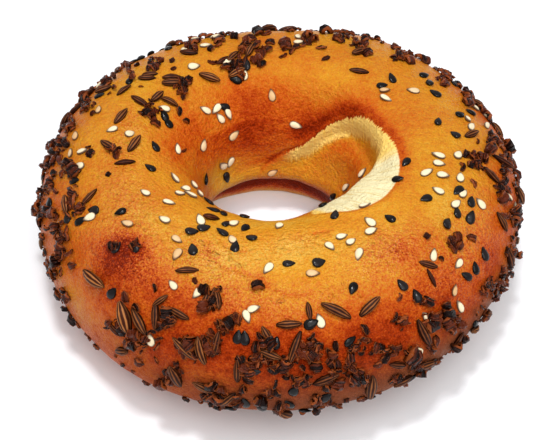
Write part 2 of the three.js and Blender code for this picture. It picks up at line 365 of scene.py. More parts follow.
# Larger onion flakes, with their length in millimetres
ONION_FLAKES = (
    (219, 46, 30, 3.6), (210, 31, 10, 3.4), (229, 33, 170, 3.2), (235, 38, 60, 2.6),
    (250, 41, 5, 4.4), (259, 34, 10, 3.6), (268, 35, 20, 3.6), (270, 43, 175, 3.2),
    (291, 32, 10, 2.4), (287, 47, 20, 4.0), (284, 57, 30, 3.2), (305, 45, 80, 3.2),
    (322, 49, 10, 3.8), (307, 37, 90, 2.2), (326, 34, 5, 4.0), (338, 32, 0, 3.8),
    (350, 35, 160, 3.6), (356, 43, 100, 4.4), (363, 44, 50, 3.2), (213, 64, 0, 3.0),
    (228, 68, 160, 4.6), (263, 54, 100, 3.2), (262, 65, 30, 3.4), (256, 60, 120, 3.0),
    (326, 59, 25, 3.2), (367, 55, 10, 3.8), (373, 38, 0, 1.8), (395, 49, 170, 3.4),
    (401, 53, 10, 3.2), (397, 59, 5, 4.4), (409, 62, 140, 3.4), (415, 52, 5, 2.8),
    (421, 60, 145, 4.6), (437, 67, 170, 3.8), (442, 78, 165, 3.8), (446, 85, 20, 3.4),
    (451, 76, 140, 3.4), (456, 82, 100, 2.8), (465, 96, 140, 3.8), (473, 101, 130, 3.4),
    (480, 111, 120, 3.2), (154, 68, 150, 4.0), (172, 61, 110, 2.4), (174, 69, 30, 2.0),
    (184, 90, 70, 4.8), (188, 82, 40, 4.0), (178, 78, 130, 3.6), (141, 87, 0, 1.6),
    (110, 94, 40, 1.8), (179, 112, 100, 3.2), (186, 121, 160, 2.6), (154, 113, 60, 3.2),
    (155, 124, 150, 3.4), (148, 106, 30, 2.8), (184, 151, 25, 2.8), (91, 155, 45, 3.0),
    (89, 148, 20, 1.8), (109, 175, 50, 1.8), (51, 182, 0, 3.4), (74, 201, 80, 5.0),
    (80, 211, 20, 4.0), (116, 247, 70, 2.6), (135, 246, 30, 2.6), (127, 297, 95, 3.4),
    (156, 288, 100, 2.6), (64, 256, 20, 4.0), (73, 266, 15, 3.4), (46, 251, 115, 3.4),
    (52, 272, 110, 4.2), (62, 273, 80, 2.8), (58, 294, 125, 3.6), (67, 298, 60, 3.4),
    (72, 320, 130, 4.0), (62, 242, 45, 3.4), (68, 232, 80, 3.6), (137, 305, 150, 3.0),
    (171, 322, 20, 4.2), (195, 281, 110, 2.2), (258, 288, 10, 3.6), (427, 237, 40, 2.0),
    (441, 259, 150, 2.0), (453, 248, 125, 3.4), (471, 238, 150, 3.4), (401, 298, 70, 2.4),
    (466, 155, 70, 3.4), (464, 168, 100, 3.2), (475, 163, 20, 3.0), (486, 161, 80, 3.4),
    (485, 171, 150, 3.0), (474, 184, 120, 3.2), (478, 142, 80, 2.6), (490, 134, 40, 3.8),
    (497, 139, 120, 3.2), (503, 151, 120, 3.4), (497, 185, 100, 3.0), (501, 199, 60, 4.4),
    (514, 175, 110, 3.2), (514, 184, 60, 3.0), (517, 202, 40, 3.0), (517, 213, 20, 2.8),
    (512, 222, 100, 3.4), (497, 282, 20, 4.4), (488, 284, 90, 3.2), (511, 279, 110, 3.0),
    (504, 290, 40, 3.4), (500, 297, 20, 3.0), (445, 306, 20, 3.2), (459, 324, 80, 2.4),
    (124, 365, 10, 2.4), (140, 361, 145, 3.2), (157, 360, 120, 2.4), (159, 346, 60, 2.8),
    (146, 344, 20, 2.8), (137, 334, 95, 3.2), (94, 348, 170, 4.6), (91, 339, 100, 2.6),
    (258, 354, 60, 3.6), (275, 371, 10, 3.6), (302, 379, 20, 4.4), (338, 364, 95, 3.0),
    (351, 356, 60, 2.8), (345, 372, 20, 2.0), (267, 392, 10, 3.2), (214, 396, 30, 3.8),
    (213, 384, 20, 3.2), (379, 349, 5, 3.2), (398, 347, 20, 2.8), (377, 364, 30, 2.8),
    (411, 354, 60, 5.0), (432, 344, 30, 2.8), (440, 358, 70, 2.6), (457, 352, 20, 2.8),
    (461, 345, 100, 2.6), (466, 339, 50, 2.4), (356, 378, 20, 3.6), (365, 329, 120, 3.4),
    (186, 398, 175, 2.4), (221, 405, 20, 4.0), (313, 344, 60, 3.8), (284, 369, 10, 3.0),
)

# Clumps of small flakes and crumbs: across, down, how many and how far they spread in pixels
CRUMB_CLUMPS = (
    (195, 48, 5, 7), (218, 40, 6, 9), (243, 50, 7, 9), (238, 68, 10, 11), (262, 45, 5, 8),
    (310, 42, 6, 8), (360, 45, 6, 8), (402, 56, 7, 9), (445, 78, 8, 8), (467, 100, 5, 6),
    (155, 64, 5, 8), (184, 84, 8, 8), (152, 114, 9, 9), (128, 70, 7, 8), (106, 82, 7, 8),
    (88, 106, 7, 7), (72, 126, 7, 7), (60, 148, 8, 8), (48, 166, 8, 7), (50, 188, 8, 8),
    (72, 172, 7, 8), (75, 204, 10, 10), (48, 214, 8, 8), (62, 230, 8, 9), (64, 255, 8, 8),
    (54, 272, 6, 7), (112, 150, 5, 6), (165, 320, 10, 11), (212, 300, 8, 9), (190, 346, 10, 12),
    (213, 344, 10, 11), (140, 340, 7, 12), (232, 322, 7, 8), (262, 358, 14, 14),
    (285, 362, 10, 12), (312, 350, 10, 10), (218, 398, 12, 14), (240, 398, 5, 10),
    (302, 380, 8, 10), (330, 380, 6, 9), (358, 378, 7, 9), (352, 360, 3, 8), (412, 355, 8, 8),
    (432, 345, 4, 6), (448, 320, 6, 9), (487, 314, 8, 9), (497, 284, 9, 10), (508, 255, 7, 7),
    (452, 246, 6, 7), (475, 163, 9, 9), (500, 190, 8, 8), (510, 215, 7, 8), (492, 142, 6, 8),
    (505, 165, 7, 8), (485, 290, 5, 7), (430, 318, 7, 8), (340, 36, 6, 9), (290, 50, 3, 6),
    (120, 325, 4, 10), (170, 372, 5, 10), (270, 395, 5, 12), (365, 345, 5, 14),
    (188, 344, 5, 7), (225, 327, 6, 7), (265, 341, 7, 9), (302, 350, 7, 7), (330, 353, 4, 8),
    (352, 354, 3, 6), (378, 348, 3, 8), (393, 350, 3, 6), (362, 377, 6, 7), (397, 377, 6, 8),
    (418, 367, 6, 8), (433, 362, 5, 7), (459, 344, 5, 6), (244, 367, 6, 8), (173, 372, 5, 7),
    (321, 398, 6, 8), (280, 408, 6, 9), (137, 341, 5, 8), (400, 320, 5, 8), (420, 300, 4, 6),
    (116, 247, 3, 3), (135, 246, 3, 3), (449, 240, 3, 5),
)

# Toppings thrown on by rule, so that the sides that the viewer doesn't see have theirs too. They
# lie thickest round the rim and thinly on the crown, between a lowest and a highest lean
SCATTER_WHITE = 46
SCATTER_BLACK = 52
SCATTER_FENNEL = 52
RIM_LEAN = 20
RIM_SPREAD = 28
CROWN_SHARE = 0.12
CROWN_LEAN = 82
CROWN_SPREAD = 30
LOWEST_TOPPING = -38
HIGHEST_TOPPING = 122
SEED = 3421

# How much a thrown topping's place may face the viewer, from -1 to 1: out of sight or nearly
# so, and along the rim
UNSEEN = (-1.0, 0.12)
RIM_SEEN = (-0.1, 0.35)

# Flakes and crumbs thrown on: how many, between which lengths in millimetres, how steeply they
# lie in degrees and how much they may face the viewer
THROWN_FLAKES = (
    (190, (2.0, 4.6), 9, UNSEEN),
    (200, (0.9, 2.0), 12, UNSEEN),
    (120, (1.0, 3.0), 12, RIM_SEEN),
)

# The seeds are modelled from a ball a unit across: how near a point is to its ring along X, and
# within which distance along X it isn't one of the two poles
SAME_RING = 0.02
BALL_POLE = 0.49

# A sesame seed's shape, the least and most that its sizes are multiplied by, how far it tilts
# and rolls in degrees, and how deep it sits in the crust
SESAME_SIDES = 10
SESAME_RINGS = 7
SESAME_FULL = 1.02
SESAME_TAPER = 0.82
SESAME_POINT = 0.5
SESAME_GROWTH = (0.88, 1.1)
SESAME_BREADTH = (0.92, 1.08)
SESAME_DEPTH = (0.9, 1.15)
SESAME_TILT = 6
SESAME_ROLL = 9
SESAME_SUNK = 0.2 * MM
BLACK_PLUMP = 1.12

# The seeds' tones, from 0 for dark to 1 for pale
WHITE_TONES = (0.72, 1.0)
TOASTED_TONES = (0.1, 0.5)
THROWN_WHITE_TONES = (0.4, 1.0)
BLACK_TONES = (0.0, 1.0)
FENNEL_TONES = (0.1, 0.9)

# A fennel seed's shape, with how far its grooves are drawn in, and how it differs and lies.
# Long seeds and pale ones are plumper. The lengths, in millimetres, are of those thrown on
FENNEL_RIBS = 8
FENNEL_RINGS = 9
FENNEL_FULL = 1.05
FENNEL_POINT = 0.9
FENNEL_TAPER = 0.12
FENNEL_GROOVE = 0.86
FENNEL_UNEVEN = 0.03
FENNEL_BENDS = (0.05, 0.5, 0.25, 0.8)
FENNEL_USUAL = 6 * MM
FENNEL_LEAST = 0.4
FENNEL_PLUMP = 0.65
FENNEL_BREADTH = (0.9, 1.1)
FENNEL_DEPTH = (0.75, 0.9)
FENNEL_TILT = 7
FENNEL_ROLL = (-50, 50)
FENNEL_SUNK = 0.3 * MM
FENNEL_LENGTHS = (3.8, 6.6)

# The flakes' models are chips, slivers curved sideways and tight curls: how many, their width
# and thickness for a length of 1, the curl of the first in degrees and how much each further
# one adds, and the same for the sideways curve
FLAKE_KINDS = (
    (6, 0.5, 0.17, 60, 24, 30, 0),
    (6, 0.28, 0.16, 60, 0, 28, 28),
    (4, 0.45, 0.15, 180, 60, 40, 0),
)
FLAKE_SIDES = 7
FLAKE_CRUMPLE = 3.6
FLAKE_UNEVEN = 0.06

# The angle in degrees past which a flake's edge stays sharp
FLAKE_SHARP = 75

# How the flakes differ and lie: FLAKE_SHARE is a model's share of the length that is read, and
# FLAKE_SUNK is the share of its thickness that sits in the crust
FLAKE_SHARE = 0.86
FLAKE_SUNK = 0.25
FLAKE_BREADTH = (0.85, 1.2)
FLAKE_DEPTH = (0.7, 1.1)
FLAKE_STEEPNESS = 8
FLAKE_ROLL_SHARE = 1.3
FLAKE_TONE_POWER = 1.3

# The flakes of a clump: their lengths in millimetres, how steeply they lie in degrees, the share
# of the spread that most stay within, how high they pile up and how many times the number given
CLUMP_LENGTHS = (1.2, 3.6)
CLUMP_STEEPNESS = 16
CLUMP_SPREAD = 0.5
CLUMP_PILE = 0.5 * MM
CLUMP_CROWDING = 1.8

# The picture that the places above are read from, and the viewer it was taken for
PICTURE_WIDTH = 550
PICTURE_MIDDLE = Vector((275, 220))
VIEW_TARGET = Vector((-1.25 * MM, -2.65 * MM, 18 * MM))
VIEW_DISTANCE = 324.5 * MM
VIEW_ELEVATION = 46.4
VIEW_LENS = 88.15
VIEW_START = 10 * MM
SENSOR_WIDTH = 36
VIEW_RISE = math.radians(VIEW_ELEVATION)
VIEW_RIGHT = Vector((1, 0, 0))
VIEW_UP = Vector((0, math.sin(VIEW_RISE), math.cos(VIEW_RISE)))
VIEW_BACK = Vector((0, -math.cos(VIEW_RISE), math.sin(VIEW_RISE)))
VIEW_EYE = VIEW_TARGET + VIEW_BACK * VIEW_DISTANCE
VIEW_FOCUS = VIEW_LENS / SENSOR_WIDTH * PICTURE_WIDTH

# The crust is looked for round a place in rings of half a pixel, and a direction read in the
# picture is laid on crust that faces the viewer at least this much
SEARCH_STEP = 0.5
SEARCH_RINGS = 40
SEARCH_WAYS = 8
LEAST_FACING = 0.2

# The floor's width, and the lamps' widths and places
FLOOR_WIDTH = 4
KEY_WIDTH = 0.12
KEY_PLACE = Vector((-0.03, -0.05, 0.8))
FILL_WIDTH = 0.7
FILL_PLACE = Vector((0.14, -0.42, 0.66))
BACK_WIDTH = 0.5
BACK_PLACE = Vector((-0.25, 0.55, 0.5))

# The narrow lamp that looks into the hole, the place it is aimed at and its cone in degrees
HOLE_LAMP = Vector((0.015, -0.36, 0.42))
HOLE_AIM = Vector((-1 * MM, 16 * MM, 12 * MM))
HOLE_CONE = 7
HOLE_LAMP_RADIUS = 15 * MM

# The numbers that the crust's points carry for its material, and the least and most degrees of
# lean past the seam that they say
CRUST_MARKS = ("bake_and_shade", "past", "width", "wrinkle", "under", "crease")
LEAST_PAST = -20.0
MOST_PAST = 90.0

# The crust's mottling, as size, strength, detail and roughness of three patterns, and half of
# their strengths, which their sum is centred on
MOTTLES = (
    (9 * MM, 0.45, 3.0, 0.5),
    (1.6 * MM, 0.5, 4.0, 0.65),
    (0.42 * MM, 0.6, 2.0, 0.7),
)
MOTTLE_MIDDLE = 0.775

# How much browner wrinkles and the seam's lip are, how much painted shade darkens the creases,
# and between which degrees of lean past the seam the crust turns to the lip's brown
WRINKLE_BROWN = 1.6
CREASE_SHADE = 0.22
LIP_BROWN = 0.15
LIP_EDGE = (-3.5, -0.4)

# The pale dough's strands and edges. The edges are in degrees of lean past the seam. Strands
# fray the outer edge where the pale dough is narrow, and the inner edge, which grows with its
# width, all along. Where it is narrow the pale dough is mostly yellow
STRAND_SPACING = 0.8 * MM
STRAND_LENGTH = 5 * MM
OUTER_EDGE = (-0.4, 0.7)
FRAYED_WIDTHS = (12.0, 20.0)
OUTER_FRAY = (7.0, 0.8)
INNER_FRAY = 16.0
INNER_START = 1.5
INNER_GROWTH = 1.25
INNER_END = 7.0
PALE_SHOWN = 0.3
YELLOW_WIDTHS = (14.0, 28.0)
CRUMB_SHARES = (0.25, 1.0)

# The crust's roughness on its speckles, its sheen low down, and the share of that sheen that is
# left where it is darkest, each as two limits of a value and what it gives there. The pale dough
# is rougher by so much, and wrinkles are smoother and shinier
SPECKLE_ROUGHNESS = ((0.3, 0.7), (0.24, 0.42))
UNDER_SHEEN = ((0.0, 0.35), (0.13, 0.02))
DARK_SHEEN = ((0.5, 0.9), (1.0, 0.25))
PALE_ROUGHNESS = 0.3
WRINKLE_ROUGHNESS = -0.14
WRINKLE_SHEEN = 0.4

# Where the toppings' colours fade into each other: two limits of a value, and the second
# colour's share at each
# The seeds' lower flanks darken to painted shade where they meet the crust
FLANK_SHADE = ((0.14, 0.38), (0.9, 0.0))
RIB_EDGE = ((0.35, 0.85), (0.0, 1.0))
# The fennel's foot darkens to painted shade where it meets the crust
FENNEL_FOOT_SHADE = ((0.35, 0.8), (0.85, 0.0))
ONION_SHADES = ((1.5, 2.35), (0.0, 1.0))
# The onion's thin edges are lighter, partly their own colour and partly a painted highlight
ONION_THIN_AND_HIGHLIGHT = ((0.6, 1.0), (0.0, 0.8))
# The onion's foot darkens to painted shade where it meets the crust
ONION_FOOT_SHADE = ((0.2, 0.75), (0.85, 0.0))

# How strongly the toppings' patterns tell beside each one's own tone, what is taken off the
# fennel's again, and how far a flake's tone shifts its strands
FENNEL_STAINING = 0.9
FENNEL_MIDDLE = 0.52
CHAR_STRENGTH = 1.0
ONION_STRAND_STRENGTH = 1.9
ONION_STRAND_SHIFT = 7.0

# The middle of a noise pattern, the sizes of the fine patterns, and how high their relief
# stands. ONION_STRANDS is how often an onion's strands repeat along a flake's length
NOISE_MIDDLE = 0.5
PORE_SIZE = 0.8 * MM
PORE_RELIEF = 0.8 * MM
FOLD_SIZE = 1.5 * MM
FOLD_RELIEF = 1.2 * MM
STRAND_RELIEF = 0.3 * MM
SESAME_SPOT_SIZE = 0.9 * MM
FENNEL_STAIN_SIZE = 1.2 * MM
SEED_RELIEF = 0.15 * MM
CHAR_SIZE = 0.8 * MM
CHAR_RELIEF = 0.4 * MM
ONION_STRANDS = 9.0
ONION_STRAND_RELIEF = 0.5 * MM
CARD_TOOTH_SIZE = 1.5 * MM
CARD_TOOTH_RELIEF = 0.1 * MM


def bell(x):
    return math.exp(-x * x)


def ease(x):
    part = min(max(x, 0.0), 1.0)
    return part * part * (3 - 2 * part)


def span(angle, start, rise, end, fall):
    """How much something shows at an angle, from 0 to 1, within its span."""
    return ease((angle - start) / rise) * ease((end - angle) / fall)


def wrap(angle):
    """Bring an angle to between -180 and 180."""
    return (angle + 180) % 360 - 180


def crowd(angle, middle, share):
    """Move evenly spaced angles closer together round a middle one."""
    away = wrap(angle)
    return middle + away - share * math.degrees(math.sin(math.radians(away)))


def patch(place, turn, lean):
    """How much a patch adds at a turn and a lean."""
    patch_turn, patch_lean, along, across, size = place
    return size * bell(wrap(turn - patch_turn) / along) * bell(wrap(lean - patch_lean) / across)


def patches(places, turn, lean):
    return sum(patch(place, turn, lean) for place in places)


def signed_power(value, power):
    return math.copysign(abs(value) ** power, value)


def hole_radius(turn):
    """Distance from the ring's centre to the hole's oval, which lies off centre."""
    cos = math.cos(math.radians(turn))
    sin = math.sin(math.radians(turn))
    a = (cos / HOLE_HALF.x) ** 2 + (sin / HOLE_HALF.y) ** 2
    b = cos * HOLE_CENTRE.x / HOLE_HALF.x ** 2 + sin * HOLE_CENTRE.y / HOLE_HALF.y ** 2
    c = (HOLE_CENTRE.x / HOLE_HALF.x) ** 2 + (HOLE_CENTRE.y / HOLE_HALF.y) ** 2 - 1
    return (b + math.sqrt(b * b - a * c)) / a


def follow(line, turn):
    """The lean at a turn on a smooth line through places of turn and lean."""
    around = min(max(wrap(turn), line[0][0]), line[-1][0])
    last = len(line) - 1
    step = next(index for index in range(1, last + 1) if around <= line[index][0])
    (before, start), (after, end) = line[step - 1], line[step]
    slopes = []
    for index in (step - 1, step):
        (low, first), (high, second) = line[max(index - 1, 0)], line[min(index + 1, last)]
        slopes.append((second - first) / (high - low) * (after - before))
    part = (around - before) / (after - before)
    bend = slopes[0] * part * (1 - part) ** 2 - slopes[1] * part * part * (1 - part)
    return start + (end - start) * ease(part) + bend


def past_seam(turn, lean):
    """How many degrees of lean a place lies past the stretched seam's upper edge."""
    return lean - follow(SEAM_EDGE, turn)


def seam_depth(turn, lean):
    step = span(past_seam(turn, lean), 0, SEAM_WIDTH, SEAM_WIDTH + SEAM_FADE, SEAM_FADE)
    return SEAM_DEPTH * span(wrap(turn), *SEAM_SPAN) * step


def bay_depth(turn, lean):
    around = wrap(turn)
    far = ease((around - BAY_FAR_TURN) / BAY_FAR_REACH)
    width = BAY_NEAR_WIDTH + (BAY_FAR_WIDTH - BAY_NEAR_WIDTH) * far
    hollow = span(lean, follow(BAY_EDGE, turn), width, BAY_END, BAY_FADE)
    return BAY_DEPTH * span(around, *BAY_SPAN) * hollow


def pale_width(turn):
    """How many degrees of lean the seam's pale dough spans, and none away from the seam."""
    around = wrap(turn)
    wider = PALE_WIDER * bell((around - PALE_WIDER_TURN) / PALE_WIDER_REACH)
    broad = PALE_BROAD * ease((PALE_BROAD_TURN - around) / PALE_BROAD_REACH)
    return (PALE_NARROW + wider + broad) * span(around, *PALE_SPAN)


def fibre_place(turn, lean):
    """Lengths along the ring and across the section, for fibres that follow the seam."""
    return Vector((wrap(turn) * MM_PER_TURN, lean * MM_PER_LEAN, 0))


def crease_depth(turn, lean):
    """How deep in a crease a place lies, from 0 to 1."""
    deepest = 0.0
    for crease in CREASES:
        if not crease[0][0] - CREASE_NEAR < turn < crease[-1][0] + CREASE_NEAR:
            continue
        for start, end in zip(crease, crease[1:]):
            here = Vector(((turn - start[0]) * MM_PER_TURN, (lean - start[1]) * MM_PER_LEAN))
            run = Vector(((end[0] - start[0]) * MM_PER_TURN, (end[1] - start[1]) * MM_PER_LEAN))
            part = min(max(here.dot(run) / run.length_squared, 0.0), 1.0)
            deepest = max(deepest, bell((here - run * part).length / CREASE_REACH))
    return deepest


def relief(place, turn, lean, lumpiness):
    """Height of the crust's own bumps, wrinkles, creases and fibres."""
    height = lumpiness * noise.noise(place / LUMP_SIZE)
    height += lumpiness * DIMPLE_SHARE * noise.noise(place / DIMPLE_SIZE)
    wrinkled = patches(WRINKLES, turn, lean)
    if wrinkled > LEAST_WRINKLE:
        folds = 1 - 2 * abs(noise.noise(place / WRINKLE_SPACING))
        height += WRINKLE_HEIGHT * wrinkled * folds
    height -= CREASE_DEPTH * crease_depth(turn, lean)
    past = past_seam(turn, lean)
    width = pale_width(turn)
    if width > 0 and -SEAM_NEAR < past < width + SEAM_NEAR:
        shown = min(width / PALE_NARROW, 1)
        height += SEAM_LIP * shown * bell((past - SEAM_LIP_PLACE) / SEAM_LIP_REACH)
        fibres = fibre_place(turn, lean)
        fibres.y /= FIBRE_STRETCH
        inside = span(past, 0, FIBRE_FADE_IN, width + FIBRE_FADE_OUT, FIBRE_FADE_OUT)
        height += FIBRE_HEIGHT * inside * shown * noise.noise(fibres / FIBRE_SPACING)
    return height


def crust_point(dough, turn, lean):
    """The place on the dough's skin at a turn and a lean, in metres."""
    round_ring = math.radians(turn)
    outer = dough.outer_radius
    for waves, height, wave_turn in OUTLINE_WAVES:
        outer += height * math.cos(waves * (round_ring - math.radians(wave_turn)))
    inner = hole_radius(turn)
    top = dough.height + dough.back_rise * math.sin(round_ring)
    waist = WAIST * top
    cos = math.cos(math.radians(lean))
    sin = math.sin(math.radians(lean))
    side = (outer - inner) / 2 * signed_power(cos, SIDE_POWER)
    if sin >= 0:
        rise = (top - waist) * signed_power(sin, TOP_POWER)
    else:
        rise = BASE_SINK * waist * signed_power(sin, BASE_POWER)
    radius = (outer + inner) / 2 + side
    place = Vector((radius * math.cos(round_ring), radius * math.sin(round_ring), waist + rise))
    out = patches(LUMPS, turn, lean) + patches(FOOT, turn, lean)
    out -= seam_depth(turn, lean) + bay_depth(turn, lean)
    out += relief(place, turn, lean, dough.lumpiness)
    place.x += out * cos * math.cos(round_ring)
    place.y += out * cos * math.sin(round_ring) + RING_Y
    place.z = max(place.z + out * sin, 0.0)
    return place


def baked(turn, lean):
    """How brown the crust is, from 0 for pale yellow to 1 for dark brown, with painted shade
    beneath the hole's lip and painted shade and light in a few patches.
    """
    around = wrap(turn)
    tilt = wrap(lean)
    past = past_seam(turn, lean)
    width = pale_width(turn)
    amount = BAKED_TOP + (BAKED_SIDE - BAKED_TOP) * ease((BAKED_LEAN - tilt) / BAKED_REACH)
    if tilt < -90 or tilt > BAKED_INSIDE_LEAN:
        amount = BAKED_INSIDE
    amount += patches(BAKE_PATCHES, turn, lean)
    reach = RIDGE_REACH + RIDGE_GROWTH * ease((around - RIDGE_GROWTH_TURN) / RIDGE_GROWTH_REACH)
    ridge = bell((past + RIDGE_PLACE * reach) / (RIDGE_SPREAD * reach))
    amount += RIDGE_BROWN * span(around, *RIDGE_SPAN) * ridge
    beside = bell((past - width - BESIDE_PLACE) / BESIDE_REACH)
    amount -= BESIDE_PALE * min(width / BESIDE_WIDTH, 1) * beside
    stretched = ease((past - STRETCHED_START) / STRETCHED_REACH)
    amount -= STRETCHED_PALE * span(around, *STRETCHED_SPAN) * stretched
    # Painted shade beneath the hole's lip, which fades and turns paler again towards the floor
    amount += FOOT_BROWN_AND_SHADE * ease((lean - FOOT_SHADE_LEAN) / FOOT_SHADE_REACH)
    return amount - FOOT_PALE * ease((lean - FOOT_PALE_LEAN) / FOOT_PALE_REACH)


def dull_share(turn, lean):
    """How dull and brown the crust is low down, from 0 to 1: partly its own dull colour, partly
    painted shade and painted sheen.
    """
    if lean > 180:
        return DULLEST * ease((lean - DULL_UNDER_LEAN) / DULL_UNDER_REACH)
    bright = BRIGHT_SHARE * bell(wrap(turn - BRIGHT_TURN) / BRIGHT_REACH)
    return DULLEST * ease((DULL_LEAN - lean) / DULL_REACH) * (1 - bright)


def linear(hex_colour):
    """Turn a hex sRGB colour into a linear one with alpha."""
    channels = []
    for start in (1, 3, 5):
        value = int(hex_colour[start:start + 2], 16) / 255
        channels.append(value / 12.92 if value <= 0.04045 else ((value + 0.055) / 1.055) ** 2.4)
    return (*channels, 1.0)


def colour(name, description, default):
    return bpy.props.StringProperty(name=name, description=description, default=default)


def length(name, description, default):
    return bpy.props.FloatProperty(
        name=name, description=description, default=default, unit="LENGTH", precision=5)


def power(name, description, default):
    return bpy.props.FloatProperty(
        name=name, description=description, default=default, unit="POWER")


class DoughSettings(bpy.types.PropertyGroup):
    outer_radius: length("Outer radius", "Half the ring's width", 56.9 * MM)
    height: length("Height", "Height of the ring at its sides", 38.2 * MM)
    back_rise: length("Back rise", "How much higher the back stands than the sides", 1.5 * MM)
    lumpiness: length("Lumpiness", "Height of the crust's small bumps", 0.3 * MM)
    crumb: colour("Crumb", "Stretched pale dough in the seam", "#efe3b4")
    # Painted shade between the pale dough's fibres
    crumb_shade: colour("Crumb shade", "Between the pale dough's fibres", "#e0c888")
    crumb_yellow: colour("Yellow crumb", "Pale dough where the seam is narrow", "#ffd052")
    pale: colour("Pale crust", "The least baked crust", "#d8a43c")
    yellow: colour("Yellow crust", "Lightly baked crust", "#d5901e")
    gold: colour("Golden crust", "Well baked crust", "#cc7819")
    orange: colour("Orange crust", "Darker crust", "#c5590d")
    brown: colour("Brown crust", "Browned crust", "#a63506")
    dark: colour("Dark crust", "The darkest crust", "#721b02")
    # Partly the underside's own dull brown, partly painted shade and painted sheen
    under: colour("Under crust", "The dull underside", "#734630")


class ToppingSettings(bpy.types.PropertyGroup):
    sesame_length: length("Sesame length", "Length of a sesame seed", 3.2 * MM)
    sesame_width: length("Sesame width", "Width of a sesame seed", 1.75 * MM)
    sesame_thickness: length("Sesame thickness", "Thickness of a sesame seed", 0.85 * MM)
    fennel_width: length("Fennel width", "Width of a thin dark fennel seed", 1.6 * MM)
    sesame_pale: colour("Pale sesame", "The palest sesame", "#eddcb8")
    sesame_toasted: colour("Toasted sesame", "Toasted sesame", "#cf9c60")
    # Painted shade on the pale sesame's lower flank where it meets the crust
    sesame_flank_shade: colour("Sesame stain", "Pale sesame's edge where it touches the crust", "#471c06")
    sesame_black: colour("Black sesame", "Black sesame", "#0a0808")
    sesame_grey: colour("Grey sesame", "The greyer black sesame", "#221d1d")
    fennel_groove: colour("Fennel groove", "Between a seed's ribs", "#1a0602")
    fennel_body: colour("Fennel body", "A pale seed's body", "#3c1606")
    fennel_rib: colour("Fennel rib", "A dark seed's ribs", "#56210a")
    fennel_pale: colour("Pale fennel rib", "A pale seed's ribs", "#ae6e3a")
    onion_dark: colour("Dark onion", "The darkest flakes", "#120401")
    onion_red: colour("Red onion", "The redder flakes", "#5c240f")
    # Partly the thin onion's own lighter colour, partly a painted highlight
    onion_thin_edge_and_highlight: colour("Onion edge", "The flakes' thin edges", "#964a20")


class StageSettings(bpy.types.PropertyGroup):
    key_power: power("Key light", "Power of the small lamp above", 2.9)
    fill_power: power("Fill light", "Power of the broad lamp at the front", 3.9)
    hole_power: power("Hole light", "Power of the narrow lamp that looks into the hole", 3.8)
    back_power: power("Back light", "Power of the lamp at the back", 0.35)
    surround: bpy.props.FloatProperty(
        name="Surround", description="Strength of the even light all round", default=0.45)
    floor: colour("Floor", "The plain floor", "#fafcff")


def add_node(tree, kind, settings, inputs, output=0):
    """Add a node, set its settings, fill or link its inputs, and give one of its outputs."""
    node = tree.nodes.new(kind)
    for name, value in settings.items():
        setattr(node, name, value)
    for name, value in inputs.items():
        if isinstance(value, bpy.types.NodeSocket):
            tree.links.new(value, node.inputs[name])
        else:
            node.inputs[name].default_value = value
    return node.outputs[output] if node.outputs else node


def fill_ramp(socket, stops):
    """Give a colour ramp its stops, each a position and a hex colour."""
    elements = socket.node.color_ramp.elements
    for stop in stops[2:]:
        elements.new(stop[0])
    for element, (position, hex_colour) in zip(elements, sorted(stops)):
        element.position = position
        element.color = linear(hex_colour)
    return socket


def start_material(name, mark_names=()):
    """Start a material with the place on its piece and the marks that the points carry."""
    material = bpy.data.materials.new(name)
    material.use_nodes = True
    tree = material.node_tree
    tree.nodes.clear()
    place = add_node(tree, "ShaderNodeTexCoord", {}, {}, "Object")
    marks = {}
    for mark_name in mark_names:
        marks[mark_name] = add_node(
            tree, "ShaderNodeAttribute", {"attribute_name": mark_name}, {}, "Fac")
    return material, tree, place, marks


def fade(tree, value, how, first, second):
    """Fade a first colour into a second: how gives two limits of the value and the shares."""
    limits, shares = how
    share = add_node(
        tree, "ShaderNodeMapRange", {"interpolation_type": "SMOOTHSTEP"},
        {0: value, 1: limits[0], 2: limits[1], 3: shares[0], 4: shares[1]})
    return add_node(
        tree, "ShaderNodeMix", {"data_type": "RGBA"}, {0: share, 6: first, 7: second}, 2)


def finish_material(tree, reliefs, inputs):
    """Lay reliefs over each other, each a height, a strength and a size, and add the shader."""
    bumps = {}
    for height, strength, size in reliefs:
        bumps["Normal"] = add_node(
            tree, "ShaderNodeBump", {},
            {"Height": height, "Strength": strength, "Distance": size, **bumps})
    shader = add_node(tree, "ShaderNodeBsdfPrincipled", {}, {**inputs, **bumps})
    add_node(tree, "ShaderNodeOutputMaterial", {}, {"Surface": shader})


